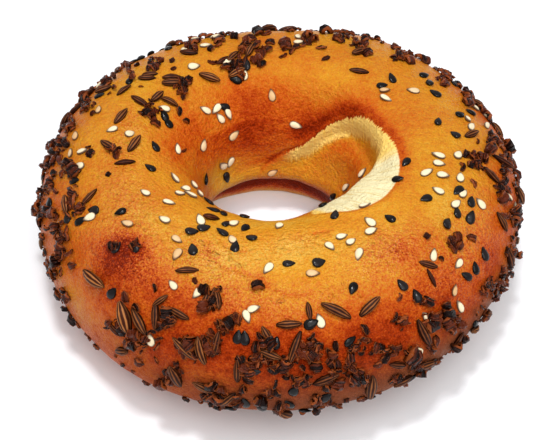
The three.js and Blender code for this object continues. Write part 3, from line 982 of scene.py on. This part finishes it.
def crust_material(dough):
    """Dough that was boiled, glazed with egg and baked until it browned.

    The eye gets a satin gloss, mottled browning from yellow to red-brown, fine pores and, where
    the dough tore open late in the oven, a dull pale seam of stretched fibres.
    """
    material, tree, place, marks = start_material("baked_egg_glazed_crust", CRUST_MARKS)
    fibre = add_node(tree, "ShaderNodeAttribute", {"attribute_name": "fibre"}, {}, "Vector")
    # The browning also carries painted shade beneath the hole's lip and low on the front, and
    # painted light on a few walls of the hole
    browning = marks["bake_and_shade"]
    patterns = []
    for size, strength, detail, roughness in MOTTLES:
        pattern = add_node(
            tree, "ShaderNodeTexNoise", {},
            {"Vector": place, "Scale": 1 / size, "Detail": detail, "Roughness": roughness})
        patterns.append(pattern)
        browning = add_node(
            tree, "ShaderNodeMath", {"operation": "MULTIPLY_ADD"},
            {0: pattern, 1: strength, 2: browning})
    speckle, grain = patterns[1:]
    fine = add_node(
        tree, "ShaderNodeMath", {"operation": "SUBTRACT"}, {0: grain, 1: NOISE_MIDDLE})
    fine = add_node(
        tree, "ShaderNodeMath", {"operation": "MULTIPLY"}, {0: fine, 1: marks["wrinkle"]})
    # Fine speckle browns the wrinkles, and painted shade darkens the creases
    for browner, strength in ((fine, WRINKLE_BROWN), (marks["crease"], CREASE_SHADE)):
        browning = add_node(
            tree, "ShaderNodeMath", {"operation": "MULTIPLY_ADD"},
            {0: browner, 1: strength, 2: browning})
    lip = add_node(
        tree, "ShaderNodeMapRange", {"interpolation_type": "SMOOTHSTEP"},
        {0: marks["past"], 1: LIP_EDGE[0], 2: LIP_EDGE[1],
         3: MOTTLE_MIDDLE, 4: MOTTLE_MIDDLE - LIP_BROWN})
    browning = add_node(tree, "ShaderNodeMath", {"operation": "SUBTRACT"}, {0: browning, 1: lip})
    crust = fill_ramp(
        add_node(tree, "ShaderNodeValToRGB", {}, {0: browning}),
        ((0.0, dough.pale), (0.2, dough.yellow), (0.4, dough.gold), (0.6, dough.orange),
         (0.8, dough.brown), (1.0, dough.dark)))
    # Low down the crust takes the dull colour: its own dull brown with painted shade and painted
    # sheen
    crust = add_node(
        tree, "ShaderNodeMix", {"data_type": "RGBA"},
        {0: marks["under"], 6: crust, 7: linear(dough.under)}, 2)

    # Fibres of the stretched dough run across the seam, about a millimetre apart
    strand_place = add_node(
        tree, "ShaderNodeMapping", {},
        {"Vector": fibre, "Scale": (1 / STRAND_SPACING, 1 / STRAND_LENGTH, 1.0)})
    strands = add_node(
        tree, "ShaderNodeTexNoise", {"noise_dimensions": "2D"},
        {"Vector": strand_place, "Scale": 1.0, "Detail": 3.0, "Roughness": 0.6})
    centred = add_node(
        tree, "ShaderNodeMath", {"operation": "SUBTRACT"}, {0: strands, 1: NOISE_MIDDLE})
    outer_fray = add_node(
        tree, "ShaderNodeMapRange", {},
        {0: marks["width"], 1: FRAYED_WIDTHS[0], 2: FRAYED_WIDTHS[1],
         3: OUTER_FRAY[0], 4: OUTER_FRAY[1]})
    inner_start = add_node(
        tree, "ShaderNodeMath", {"operation": "ADD"}, {0: marks["width"], 1: INNER_START})
    inner_end = add_node(
        tree, "ShaderNodeMath", {"operation": "MULTIPLY_ADD"},
        {0: marks["width"], 1: INNER_GROWTH, 2: INNER_END})
    edges = []
    for fray, start, end, before, after in (
        (outer_fray, OUTER_EDGE[0], OUTER_EDGE[1], 0.0, 1.0),
        (INNER_FRAY, inner_start, inner_end, 1.0, 0.0),
    ):
        frayed = add_node(
            tree, "ShaderNodeMath", {"operation": "MULTIPLY_ADD"},
            {0: centred, 1: fray, 2: marks["past"]})
        edges.append(add_node(
            tree, "ShaderNodeMapRange", {"interpolation_type": "SMOOTHSTEP"},
            {0: frayed, 1: start, 2: end, 3: before, 4: after}))
    shown = add_node(
        tree, "ShaderNodeMath", {"operation": "MULTIPLY", "use_clamp": True},
        {0: marks["width"], 1: PALE_SHOWN})
    seam = add_node(
        tree, "ShaderNodeMath", {"operation": "MULTIPLY"}, {0: edges[0], 1: edges[1]})
    seam = add_node(tree, "ShaderNodeMath", {"operation": "MULTIPLY"}, {0: seam, 1: shown})
    # The strands' low parts take painted shade between the fibres
    crumb = fill_ramp(
        add_node(tree, "ShaderNodeValToRGB", {}, {0: strands}),
        ((0.3, dough.crumb_shade), (0.5, dough.crumb)))
    spread = add_node(
        tree, "ShaderNodeMapRange", {},
        {0: marks["width"], 1: YELLOW_WIDTHS[0], 2: YELLOW_WIDTHS[1],
         3: CRUMB_SHARES[0], 4: CRUMB_SHARES[1]})
    crumb = add_node(
        tree, "ShaderNodeMix", {"data_type": "RGBA"},
        {0: spread, 6: linear(dough.crumb_yellow), 7: crumb}, 2)
    surface = add_node(
        tree, "ShaderNodeMix", {"data_type": "RGBA"}, {0: seam, 6: crust, 7: crumb}, 2)

    # Pores, tiny wrinkles and strands, too fine for the mesh
    pores = add_node(
        tree, "ShaderNodeTexNoise", {},
        {"Vector": place, "Scale": 1 / PORE_SIZE, "Detail": 3.0, "Roughness": 0.65})
    folds = add_node(
        tree, "ShaderNodeTexNoise", {"noise_type": "RIDGED_MULTIFRACTAL"},
        {"Vector": place, "Scale": 1 / FOLD_SIZE, "Detail": 3.0})
    folds = add_node(
        tree, "ShaderNodeMath", {"operation": "MULTIPLY"}, {0: folds, 1: marks["wrinkle"]})
    raised = add_node(tree, "ShaderNodeMath", {"operation": "MULTIPLY"}, {0: strands, 1: seam})

    # Speckles and the pale seam are duller than the crust, and wrinkles glossier. The gloss is
    # lost low down and where the crust is darkest
    ranges = []
    for value, (limits, results) in (
        (speckle, SPECKLE_ROUGHNESS), (marks["under"], UNDER_SHEEN), (browning, DARK_SHEEN),
    ):
        ranges.append(add_node(
            tree, "ShaderNodeMapRange", {},
            {0: value, 1: limits[0], 2: limits[1], 3: results[0], 4: results[1]}))
    roughness, sheen, dulled = ranges
    for rougher, strength in ((seam, PALE_ROUGHNESS), (marks["wrinkle"], WRINKLE_ROUGHNESS)):
        roughness = add_node(
            tree, "ShaderNodeMath", {"operation": "MULTIPLY_ADD"},
            {0: rougher, 1: strength, 2: roughness})
    sheen = add_node(
        tree, "ShaderNodeMath", {"operation": "MULTIPLY_ADD"},
        {0: marks["wrinkle"], 1: WRINKLE_SHEEN, 2: sheen})
    sheen = add_node(tree, "ShaderNodeMath", {"operation": "MULTIPLY"}, {0: sheen, 1: dulled})
    finish_material(
        tree, ((pores, 1.0, PORE_RELIEF), (folds, 1.0, FOLD_RELIEF), (raised, 0.6, STRAND_RELIEF)),
        {"Base Color": surface, "Roughness": roughness, "IOR": 1.45, "Specular IOR Level": sheen})
    return material


def seed_material(name, stops, flank_shade, roughness, mottle):
    """Hulled seeds baked on the crust: smooth and satin, each with its own tone."""
    material, tree, place, marks = start_material(name, ("tone", "flank"))
    spots = add_node(
        tree, "ShaderNodeTexNoise", {},
        {"Vector": place, "Scale": 1 / SESAME_SPOT_SIZE, "Detail": 2.0})
    mixed = add_node(
        tree, "ShaderNodeMath", {"operation": "MULTIPLY_ADD"},
        {0: spots, 1: mottle, 2: marks["tone"]})
    mixed = add_node(
        tree, "ShaderNodeMath", {"operation": "SUBTRACT"}, {0: mixed, 1: mottle / 2})
    surface = fill_ramp(add_node(tree, "ShaderNodeValToRGB", {}, {0: mixed}), stops)
    # The lower flank fades into painted shade where the seed meets the crust
    surface = fade(tree, marks["flank"], FLANK_SHADE, surface, linear(flank_shade))
    finish_material(
        tree, ((spots, 0.25, SEED_RELIEF),),
        {"Base Color": surface, "Roughness": roughness, "IOR": 1.47, "Specular IOR Level": 0.2})
    return material


def fennel_material(toppings):
    """Dried ribbed seeds, toasted on the crust: pale ribs over dark grooves, dull and dry."""
    material, tree, place, marks = start_material("toasted_fennel_seed", ("tone", "rib", "rise"))
    stains = add_node(
        tree, "ShaderNodeTexNoise", {},
        {"Vector": place, "Scale": 1 / FENNEL_STAIN_SIZE, "Detail": 3.0})
    shade = add_node(
        tree, "ShaderNodeMath", {"operation": "MULTIPLY_ADD"},
        {0: stains, 1: FENNEL_STAINING, 2: marks["tone"]})
    shade = add_node(
        tree, "ShaderNodeMath", {"operation": "SUBTRACT", "use_clamp": True},
        {0: shade, 1: FENNEL_MIDDLE})
    tones = []
    for dark, pale in (
        (toppings.fennel_groove, toppings.fennel_body),
        (toppings.fennel_rib, toppings.fennel_pale),
    ):
        tones.append(add_node(
            tree, "ShaderNodeMix", {"data_type": "RGBA"},
            {0: shade, 6: linear(dark), 7: linear(pale)}, 2))
    grooves, ribs = tones
    surface = fade(tree, marks["rib"], RIB_EDGE, grooves, ribs)
    # The foot fades into painted shade, in the groove colour, where the seed meets the crust
    surface = fade(tree, marks["rise"], FENNEL_FOOT_SHADE, surface, linear(toppings.fennel_groove))
    finish_material(
        tree, ((stains, 0.3, SEED_RELIEF),),
        {"Base Color": surface, "Roughness": 0.5, "IOR": 1.45, "Specular IOR Level": 0.13})
    return material


def onion_material(toppings):
    """Dried onion caramelised in the oven: glossy, nearly black, red-brown where thin, with painted
    highlights on thin edges and painted shade at the foot.
    """
    material, tree, place, marks = start_material(
        "caramelised_dried_onion", ("tone", "across", "thin", "rise"))
    char = add_node(
        tree, "ShaderNodeTexNoise", {},
        {"Vector": place, "Scale": 1 / CHAR_SIZE, "Detail": 4.0, "Roughness": 0.65})
    strand_place = add_node(
        tree, "ShaderNodeMath", {"operation": "MULTIPLY_ADD"},
        {0: marks["tone"], 1: ONION_STRAND_SHIFT, 2: marks["across"]})
    strands = add_node(
        tree, "ShaderNodeTexNoise", {"noise_dimensions": "1D"},
        {"W": strand_place, "Scale": ONION_STRANDS, "Detail": 1.0})
    shade = marks["tone"]
    for pattern, strength in ((char, CHAR_STRENGTH), (strands, ONION_STRAND_STRENGTH)):
        shade = add_node(
            tree, "ShaderNodeMath", {"operation": "MULTIPLY_ADD"},
            {0: pattern, 1: strength, 2: shade})
    dark = linear(toppings.onion_dark)
    surface = fade(tree, shade, ONION_SHADES, dark, linear(toppings.onion_red))
    # Thin edges lighten, partly their own colour and partly a painted highlight
    surface = fade(tree, marks["thin"], ONION_THIN_AND_HIGHLIGHT, surface, linear(toppings.onion_thin_edge_and_highlight))
    # The foot fades into painted shade where the flake meets the crust
    surface = fade(tree, marks["rise"], ONION_FOOT_SHADE, surface, dark)
    finish_material(
        tree, ((char, 1.0, CHAR_RELIEF), (strands, 1.0, ONION_STRAND_RELIEF)),
        {"Base Color": surface, "Roughness": 0.18, "IOR": 1.45, "Specular IOR Level": 0.14})
    return material


def floor_material(hex_colour):
    """Matte white card: plain, with a faint paper tooth."""
    material, tree, place = start_material("matte_white_card")[:3]
    tooth = add_node(
        tree, "ShaderNodeTexNoise", {}, {"Vector": place, "Scale": 1 / CARD_TOOTH_SIZE})
    finish_material(
        tree, ((tooth, 0.05, CARD_TOOTH_RELIEF),),
        {"Base Color": linear(hex_colour), "Roughness": 0.9})
    return material


def mark(mesh, name, values):
    """Store one number for every point of a mesh."""
    mesh.attributes.new(name, "FLOAT", "POINT").data.foreach_set("value", values)


def select_only(*pieces):
    bpy.ops.object.select_all(action="DESELECT")
    for piece in pieces:
        piece.select_set(True)
    bpy.context.view_layer.objects.active = pieces[0]


def select_points(piece, wanted):
    """In edit mode, select the points for which wanted gives true."""
    points = bmesh.from_edit_mesh(piece.data)
    for point in points.verts:
        point.select = wanted(point.co)
    points.select_flush_mode()
    bmesh.update_edit_mesh(piece.data)


def reshape_rings(piece, rings):
    """Resize and shift rings of points along X: place, size across and shift up."""
    bpy.ops.object.mode_set(mode="EDIT")
    bpy.ops.mesh.select_mode(type="VERT")
    for along, size, shift in rings:
        select_points(piece, lambda place: abs(place.x - along) < SAME_RING)
        bpy.ops.transform.resize(value=(1, size, size))
        bpy.ops.transform.translate(value=(0, 0, shift))
    bpy.ops.object.mode_set(mode="OBJECT")


def ring_places(count, shape):
    """The rings of a ball half a unit in radius, each with the size and shift from shape."""
    places = []
    for ring in range(1, count):
        along = 0.5 * math.cos(math.pi * ring / count)
        places.append((along, *shape(along)))
    return places


def ball_model(sides, rings):
    """A ball a unit across, with its rings of points along X."""
    bpy.ops.mesh.primitive_uv_sphere_add(
        segments=sides, ring_count=rings, radius=0.5, rotation=(0, math.radians(90), 0))
    bpy.ops.object.transform_apply(location=True, rotation=True, scale=True)
    return bpy.context.object


def sesame_model():
    """One sesame seed, a unit long, wide and thick, with its tip towards +X."""
    seed = ball_model(SESAME_SIDES, SESAME_RINGS)

    def shape(along):
        return SESAME_FULL - SESAME_TAPER * along - SESAME_POINT * along ** 2, 0

    reshape_rings(seed, ring_places(SESAME_RINGS, shape))
    mark(seed.data, "flank", [point.co.z for point in seed.data.vertices])
    bpy.ops.object.shade_smooth()
    return seed


def fennel_model(seed_number, bend):
    """One ribbed seed, a unit long, wide and thick, with uneven ribs and a slight bend."""
    seed = ball_model(2 * FENNEL_RIBS, FENNEL_RINGS)
    step = math.pi / FENNEL_RIBS

    def in_groove(place):
        return round(math.atan2(place.z, place.y) / step) % 2 == 1 and abs(place.x) < BALL_POLE

    def shape(along):
        size = FENNEL_FULL - FENNEL_POINT * along ** 2 - FENNEL_TAPER * along
        return size, -bend * along ** 2

    mark(seed.data, "rib", [float(not in_groove(point.co)) for point in seed.data.vertices])
    bpy.ops.object.mode_set(mode="EDIT")
    bpy.ops.mesh.select_mode(type="VERT")
    select_points(seed, in_groove)
    bpy.ops.transform.resize(value=(1, FENNEL_GROOVE, FENNEL_GROOVE))
    bpy.ops.object.mode_set(mode="OBJECT")
    reshape_rings(seed, ring_places(FENNEL_RINGS, shape))
    bpy.ops.object.mode_set(mode="EDIT")
    bpy.ops.mesh.select_all(action="SELECT")
    bpy.ops.transform.vertex_random(
        offset=FENNEL_UNEVEN, uniform=0.4, normal=0, seed=seed_number)
    bpy.ops.object.mode_set(mode="OBJECT")
    bpy.ops.object.shade_smooth()
    return seed


def curl_up(piece, angle, upright):
    """Bend a sheet along X, out of its plane if upright is true and within it if not."""
    turns = (math.radians(90), math.radians(-90)) if upright else (0, 0)
    piece.rotation_euler.x = turns[0]
    bpy.ops.object.transform_apply(location=False, rotation=True, scale=False)
    bend = piece.modifiers.new("bend", "SIMPLE_DEFORM")
    bend.deform_method = "BEND"
    bend.deform_axis = "Z"
    bend.angle = math.radians(angle)
    bpy.ops.object.modifier_apply(modifier=bend.name)
    piece.rotation_euler.x = turns[1]
    bpy.ops.object.transform_apply(location=False, rotation=True, scale=False)


def flake_model(seed, width, thickness, curl, curve):
    """One dried flake, a unit long: a crumpled sheet, curled up and curved sideways."""
    bpy.ops.mesh.primitive_circle_add(vertices=FLAKE_SIDES, radius=0.5, fill_type="TRIFAN")
    flake = bpy.context.object
    bpy.ops.object.mode_set(mode="EDIT")
    bpy.ops.mesh.select_all(action="SELECT")
    bpy.ops.transform.resize(value=(1, width, 1))
    bpy.ops.mesh.subdivide(
        number_cuts=1, fractal=FLAKE_CRUMPLE, fractal_along_normal=0.8, seed=seed)
    bpy.ops.transform.vertex_random(offset=FLAKE_UNEVEN, uniform=0, normal=0, seed=seed)
    thin = [float(point.is_boundary) for point in bmesh.from_edit_mesh(flake.data).verts]
    bpy.ops.object.mode_set(mode="OBJECT")
    mark(flake.data, "thin", thin)
    mark(flake.data, "across", [point.co.y for point in flake.data.vertices])
    curl_up(flake, curve, False)
    curl_up(flake, curl, True)
    thicken = flake.modifiers.new("thicken", "SOLIDIFY")
    thicken.thickness = thickness
    thicken.offset = 0
    bpy.ops.object.modifier_apply(modifier=thicken.name)
    flake.scale = [1 / flake.dimensions.x] * 3
    bpy.ops.object.transform_apply(location=True, rotation=True, scale=True)
    bpy.ops.object.shade_smooth_by_angle(angle=math.radians(FLAKE_SHARP))
    return flake


def flake_models():
    models = []
    for count, width, thickness, curl, more_curl, curve, more_curve in FLAKE_KINDS:
        for index in range(count):
            models.append(flake_model(
                len(models), width, thickness,
                curl + more_curl * index, curve + more_curve * index))
    return models


class Viewer:
    """Where the picture's places lie on the crust."""

    def __init__(self):
        dough = bpy.data.objects["dough"]
        self.crust = BVHTree.FromObject(dough, bpy.context.evaluated_depsgraph_get())

    def find(self, across, down):
        """The crust that is seen at or nearest to a place: its place, normal and line of sight."""
        for ring in range(SEARCH_RINGS):
            for way in range(SEARCH_WAYS if ring else 1):
                turned = math.tau * way / SEARCH_WAYS
                x = across + SEARCH_STEP * ring * math.cos(turned) - PICTURE_MIDDLE.x
                y = down + SEARCH_STEP * ring * math.sin(turned) - PICTURE_MIDDLE.y
                line = (VIEW_RIGHT * x - VIEW_UP * y - VIEW_BACK * VIEW_FOCUS).normalized()
                place, normal = self.crust.ray_cast(VIEW_EYE, line)[:2]
                if place is not None:
                    return place, normal, line
        raise RuntimeError(f"nothing of the crust is seen near {across}, {down}")

    def spot(self, across, down, angle):
        """The place and normal found, and the direction that looks turned by angle there."""
        place, normal, line = self.find(across, down)
        turned = math.radians(angle)
        flat = VIEW_RIGHT * math.cos(turned) + VIEW_UP * math.sin(turned)
        slant = min(line.dot(normal), -LEAST_FACING)
        return place, normal, (flat - line * (flat.dot(normal) / slant)).normalized()

    def spots(self, readings):
        return [self.spot(*reading) for reading in readings]

    def settle(self, place):
        """The nearest place on the crust, and its normal."""
        return self.crust.find_nearest(place)[:2]

    def facing(self, place, normal):
        """How much a place faces the viewer, from -1 to 1."""
        return (VIEW_EYE - place).normalized().dot(normal)


def lay(model, place, normal, along, size, tilt, roll, sunk, tone):
    """A copy of a topping that lies on the crust, with its lowest point sunk into it."""
    along = (along - normal * along.dot(normal)).normalized()
    turned = Matrix((along, normal.cross(along), normal)).transposed()
    turned = turned @ Matrix.Rotation(tilt, 3, "Y") @ Matrix.Rotation(roll, 3, "X")
    shape = turned @ Matrix.Diagonal(size)
    heights = [(shape @ point.co).dot(normal) for point in model.data.vertices]
    lowest = min(heights)
    tall = max(heights) - lowest
    mesh = model.data.copy()
    mesh.transform(Matrix.Translation(place - normal * (lowest + sunk)) @ shape.to_4x4())
    mark(mesh, "tone", [tone] * len(mesh.vertices))
    mark(mesh, "rise", [(height - lowest) / tall for height in heights])
    piece = bpy.data.objects.new("topping", mesh)
    bpy.context.collection.objects.link(piece)
    return piece


def join(name, pieces, models, material):
    """Join the copies as one named piece that rides with the bagel, and drop the models."""
    select_only(*pieces)
    bpy.ops.object.join()
    joined = bpy.context.object
    joined.name = name
    joined.data.name = name
    joined.data.materials.clear()
    joined.data.materials.append(material)
    for model in models:
        bpy.data.objects.remove(model)
    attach(joined, BODY)
    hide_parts(NODE)
    return joined


def thrown_places(dough, viewer, draws, count, faces=UNSEEN):
    """Places thrown on by rule, each with its normal and a direction, that face the viewer so."""
    places = []
    while len(places) < count:
        turn = draws.uniform(0, 360)
        lean = draws.uniform(LOWEST_TOPPING, HIGHEST_TOPPING)
        chance = bell((lean - RIM_LEAN) / RIM_SPREAD)
        chance += CROWN_SHARE * bell((lean - CROWN_LEAN) / CROWN_SPREAD)
        spin = draws.uniform(0, 360)
        if draws.random() >= chance:
            continue
        place, normal = viewer.settle(crust_point(dough, turn, lean))
        if not faces[0] < viewer.facing(place, normal) < faces[1]:
            continue
        sideways = Vector((-math.sin(math.radians(turn)), math.cos(math.radians(turn)), 0))
        along = Matrix.Rotation(math.radians(spin), 3, normal) @ sideways
        places.append((place, normal, along))
    return places


def add_lamp(name, kind, place, target, energy):
    """Add a lamp that is aimed at a target, and give its data."""
    aim = (target - place).to_track_quat("-Z", "Y").to_euler()
    bpy.ops.object.light_add(type=kind, location=place, rotation=aim)
    lamp = bpy.context.object
    lamp.name = name
    lamp.data.energy = energy
    return lamp.data


class BAGEL_OT_dough(bpy.types.Operator):
    """Build the dough ring with its browned crust and stretched seam"""

    bl_idname = "bagel.dough"
    bl_label = "Build dough"

    def execute(self, context):
        settings = context.scene.bagel_dough
        bpy.ops.object.select_all(action="DESELECT")
        bpy.ops.mesh.primitive_grid_add(
            x_subdivisions=RING_STEPS, y_subdivisions=SECTION_STEPS, size=1)
        dough = context.object
        dough.name = "dough"
        dough.data.name = "dough"
        marks = {name: [] for name in CRUST_MARKS}
        fibres = []
        places = []
        for point in dough.data.vertices:
            ring_share = round((point.co.x + 0.5) * RING_STEPS) / RING_STEPS
            section_share = round((point.co.y + 0.5) * SECTION_STEPS) / SECTION_STEPS
            turn = crowd(360 * ring_share, RING_CROWD_TURN, RING_CROWDING) % 360
            lean = crowd(360 * section_share, SECTION_CROWD_LEAN, SECTION_CROWDING)
            lean = (lean + 90) % 360 - 90
            places.extend(crust_point(settings, turn, lean))
            marks["bake_and_shade"].append(baked(turn, lean))
            marks["past"].append(min(max(past_seam(turn, lean), LEAST_PAST), MOST_PAST))
            marks["width"].append(pale_width(turn))
            marks["wrinkle"].append(patches(WRINKLES, turn, lean))
            marks["under"].append(dull_share(turn, lean))
            marks["crease"].append(crease_depth(turn, lean))
            fibres.extend(fibre_place(turn, lean))
        dough.data.vertices.foreach_set("co", places)
        dough.data.update()
        for name, values in marks.items():
            mark(dough.data, name, values)
        fibre = dough.data.attributes.new("fibre", "FLOAT_VECTOR", "POINT")
        fibre.data.foreach_set("vector", fibres)
        bpy.ops.object.mode_set(mode="EDIT")
        bpy.ops.mesh.select_all(action="SELECT")
        bpy.ops.mesh.remove_doubles(threshold=SAME_POINT)
        bpy.ops.object.mode_set(mode="OBJECT")
        bpy.ops.object.shade_smooth()
        dough.data.materials.append(crust_material(settings))
        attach(dough, BODY)
        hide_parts(NODE)
        return {"FINISHED"}


class BAGEL_OT_sesame(bpy.types.Operator):
    """Lay the white, toasted and black sesame seeds on the crust"""

    bl_idname = "bagel.sesame"
    bl_label = "Lay sesame"

    def execute(self, context):
        dough = context.scene.bagel_dough
        toppings = context.scene.bagel_toppings
        viewer = Viewer()
        draws = random.Random(SEED)
        model = sesame_model()

        def lay_seed(place, normal, along, tone, plump):
            grown = draws.uniform(*SESAME_GROWTH)
            size = (toppings.sesame_length * grown,
                    toppings.sesame_width * grown * plump * draws.uniform(*SESAME_BREADTH),
                    toppings.sesame_thickness * draws.uniform(*SESAME_DEPTH))
            tilt = math.radians(draws.gauss(0, SESAME_TILT))
            roll = math.radians(draws.gauss(0, SESAME_ROLL))
            return lay(model, place, normal, along, size, tilt, roll, SESAME_SUNK, tone)

        def lay_seeds(spots, tones, plump=1):
            return [lay_seed(*spot, draws.uniform(*tones), plump) for spot in spots]

        white = lay_seeds(viewer.spots(WHITE_SESAME), WHITE_TONES)
        white += lay_seeds(viewer.spots(TOASTED_SESAME), TOASTED_TONES)
        thrown = thrown_places(dough, viewer, draws, SCATTER_WHITE)
        white += lay_seeds(thrown, THROWN_WHITE_TONES)
        black = lay_seeds(viewer.spots(BLACK_SESAME), BLACK_TONES, BLACK_PLUMP)
        thrown = thrown_places(dough, viewer, draws, SCATTER_BLACK)
        black += lay_seeds(thrown, BLACK_TONES, BLACK_PLUMP)
        pale = seed_material(
            "hulled_white_sesame",
            ((0.0, toppings.sesame_toasted), (0.8, toppings.sesame_pale)),
            toppings.sesame_flank_shade, roughness=0.4, mottle=0.3)
        dark = seed_material(
            "black_sesame_hull",
            ((0.1, toppings.sesame_black), (1.0, toppings.sesame_grey)),
            toppings.sesame_black, roughness=0.2, mottle=0.5)
        join("white_sesame", white, [], pale)
        join("black_sesame", black, [model], dark)
        return {"FINISHED"}


class BAGEL_OT_fennel(bpy.types.Operator):
    """Lay the long ribbed fennel seeds on the crust"""

    bl_idname = "bagel.fennel"
    bl_label = "Lay fennel"

    def execute(self, context):
        dough = context.scene.bagel_dough
        toppings = context.scene.bagel_toppings
        viewer = Viewer()
        draws = random.Random(SEED + 1)
        models = [fennel_model(number, bend) for number, bend in enumerate(FENNEL_BENDS)]

        def lay_seed(place, normal, along, long, tone):
            grown = FENNEL_LEAST + (1 - FENNEL_LEAST) * long / FENNEL_USUAL
            width = toppings.fennel_width * grown * (1 + FENNEL_PLUMP * tone)
            width *= draws.uniform(*FENNEL_BREADTH)
            size = (long, width, width * draws.uniform(*FENNEL_DEPTH))
            tilt = math.radians(draws.gauss(0, FENNEL_TILT))
            roll = math.radians(draws.uniform(*FENNEL_ROLL))
            model = draws.choice(models)
            return lay(model, place, normal, along, size, tilt, roll, FENNEL_SUNK, tone)

        seeds = []
        for across, down, angle, long, tone in FENNEL:
            seeds.append(lay_seed(*viewer.spot(across, down, angle), long * MM, tone))
        for spot in thrown_places(dough, viewer, draws, SCATTER_FENNEL):
            long = draws.uniform(*FENNEL_LENGTHS) * MM
            seeds.append(lay_seed(*spot, long, draws.uniform(*FENNEL_TONES)))
        join("fennel_seeds", seeds, models, fennel_material(toppings))
        return {"FINISHED"}


class BAGEL_OT_onion(bpy.types.Operator):
    """Lay the dried onion flakes and crumbs on the crust"""

    bl_idname = "bagel.onion"
    bl_label = "Lay onion"

    def execute(self, context):
        dough = context.scene.bagel_dough
        toppings = context.scene.bagel_toppings
        viewer = Viewer()
        draws = random.Random(SEED + 2)
        models = flake_models()

        def lay_flake(place, normal, along, long, steep, piled=0):
            long *= FLAKE_SHARE
            size = (long, long * draws.uniform(*FLAKE_BREADTH), long * draws.uniform(*FLAKE_DEPTH))
            tilt = math.radians(draws.gauss(0, steep))
            roll = math.radians(draws.gauss(0, steep * FLAKE_ROLL_SHARE))
            model = draws.choice(models)
            sunk = FLAKE_SUNK * size[2] * model.dimensions.z - piled
            tone = draws.uniform(0.0, 1.0) ** FLAKE_TONE_POWER
            return lay(model, place, normal, along, size, tilt, roll, sunk, tone)

        flakes = []
        for across, down, angle, long in ONION_FLAKES:
            spot = viewer.spot(across, down, angle)
            flakes.append(lay_flake(*spot, long * MM, FLAKE_STEEPNESS))
        for across, down, count, spread in CRUMB_CLUMPS:
            for crumb in range(round(CLUMP_CROWDING * count)):
                spot = viewer.spot(
                    across + draws.gauss(0, spread * CLUMP_SPREAD),
                    down + draws.gauss(0, spread * CLUMP_SPREAD), draws.uniform(0, 360))
                long = draws.uniform(*CLUMP_LENGTHS) * MM
                piled = draws.uniform(0, CLUMP_PILE)
                flakes.append(lay_flake(*spot, long, CLUMP_STEEPNESS, piled))
        for count, lengths, steep, faces in THROWN_FLAKES:
            for spot in thrown_places(dough, viewer, draws, count, faces):
                flakes.append(lay_flake(*spot, draws.uniform(*lengths) * MM, steep))
        join("onion_flakes", flakes, models, onion_material(toppings))
        return {"FINISHED"}


class BAGEL_OT_stage(bpy.types.Operator):
    """Set the plain floor, the soft light and the camera"""

    bl_idname = "bagel.stage"
    bl_label = "Set the stage"

    def execute(self, context):
        stage = context.scene.bagel_stage
        bpy.ops.object.select_all(action="DESELECT")
        bpy.ops.mesh.primitive_plane_add(size=FLOOR_WIDTH)
        floor = context.object
        floor.name = "floor"
        floor.data.materials.append(floor_material(stage.floor))
        for name, energy, width, place in (
            ("key", stage.key_power, KEY_WIDTH, KEY_PLACE),
            ("fill", stage.fill_power, FILL_WIDTH, FILL_PLACE),
            ("back", stage.back_power, BACK_WIDTH, BACK_PLACE),
        ):
            lamp = add_lamp(name, "AREA", place, VIEW_TARGET, energy)
            lamp.size = width
        lamp = add_lamp("hole_lamp", "SPOT", HOLE_LAMP, HOLE_AIM, stage.hole_power)
        lamp.spot_size = math.radians(HOLE_CONE)
        lamp.spot_blend = 1.0
        lamp.shadow_soft_size = HOLE_LAMP_RADIUS
        world = bpy.data.worlds.new("soft_surround")
        world.use_nodes = True
        background = world.node_tree.nodes["Background"]
        background.inputs["Color"].default_value = (1, 1, 1, 1)
        background.inputs["Strength"].default_value = stage.surround
        context.scene.world = world
        context.scene.view_settings.view_transform = "Standard"
        bpy.ops.object.camera_add(
            location=VIEW_EYE, rotation=(math.radians(90 - VIEW_ELEVATION), 0, 0))
        camera = context.object
        camera.name = "viewer"
        camera.data.lens = VIEW_LENS
        camera.data.sensor_width = SENSOR_WIDTH
        camera.data.clip_start = VIEW_START
        context.scene.camera = camera
        return {"FINISHED"}


class BAGEL_PT_build(bpy.types.Panel):
    """Builds the bagel step by step"""

    bl_idname = "BAGEL_PT_build"
    bl_label = "Everything Bagel"
    bl_space_type = "VIEW_3D"
    bl_region_type = "UI"
    bl_category = "Bagel"

    def draw(self, context):
        for settings in ("bagel_dough", "bagel_toppings", "bagel_stage"):
            group = getattr(context.scene, settings)
            box = self.layout.box()
            for name in group.__annotations__:
                box.prop(group, name)
        for operator in OPERATORS:
            self.layout.operator(operator.bl_idname)


OPERATORS = (BAGEL_OT_dough, BAGEL_OT_sesame, BAGEL_OT_fennel, BAGEL_OT_onion, BAGEL_OT_stage)
CLASSES = (DoughSettings, ToppingSettings, StageSettings, *OPERATORS, BAGEL_PT_build)


def register():
    for made_class in CLASSES:
        bpy.utils.register_class(made_class)
    bpy.types.Scene.bagel_dough = bpy.props.PointerProperty(type=DoughSettings)
    bpy.types.Scene.bagel_toppings = bpy.props.PointerProperty(type=ToppingSettings)
    bpy.types.Scene.bagel_stage = bpy.props.PointerProperty(type=StageSettings)


def unregister():
    del bpy.types.Scene.bagel_stage
    del bpy.types.Scene.bagel_toppings
    del bpy.types.Scene.bagel_dough
    for made_class in reversed(CLASSES):
        bpy.utils.unregister_class(made_class)


def main():
    register()
    bpy.ops.bagel.dough()
    bpy.ops.bagel.sesame()
    bpy.ops.bagel.fennel()
    bpy.ops.bagel.onion()
    bpy.ops.bagel.stage()


if __name__ == "__main__":
    main()
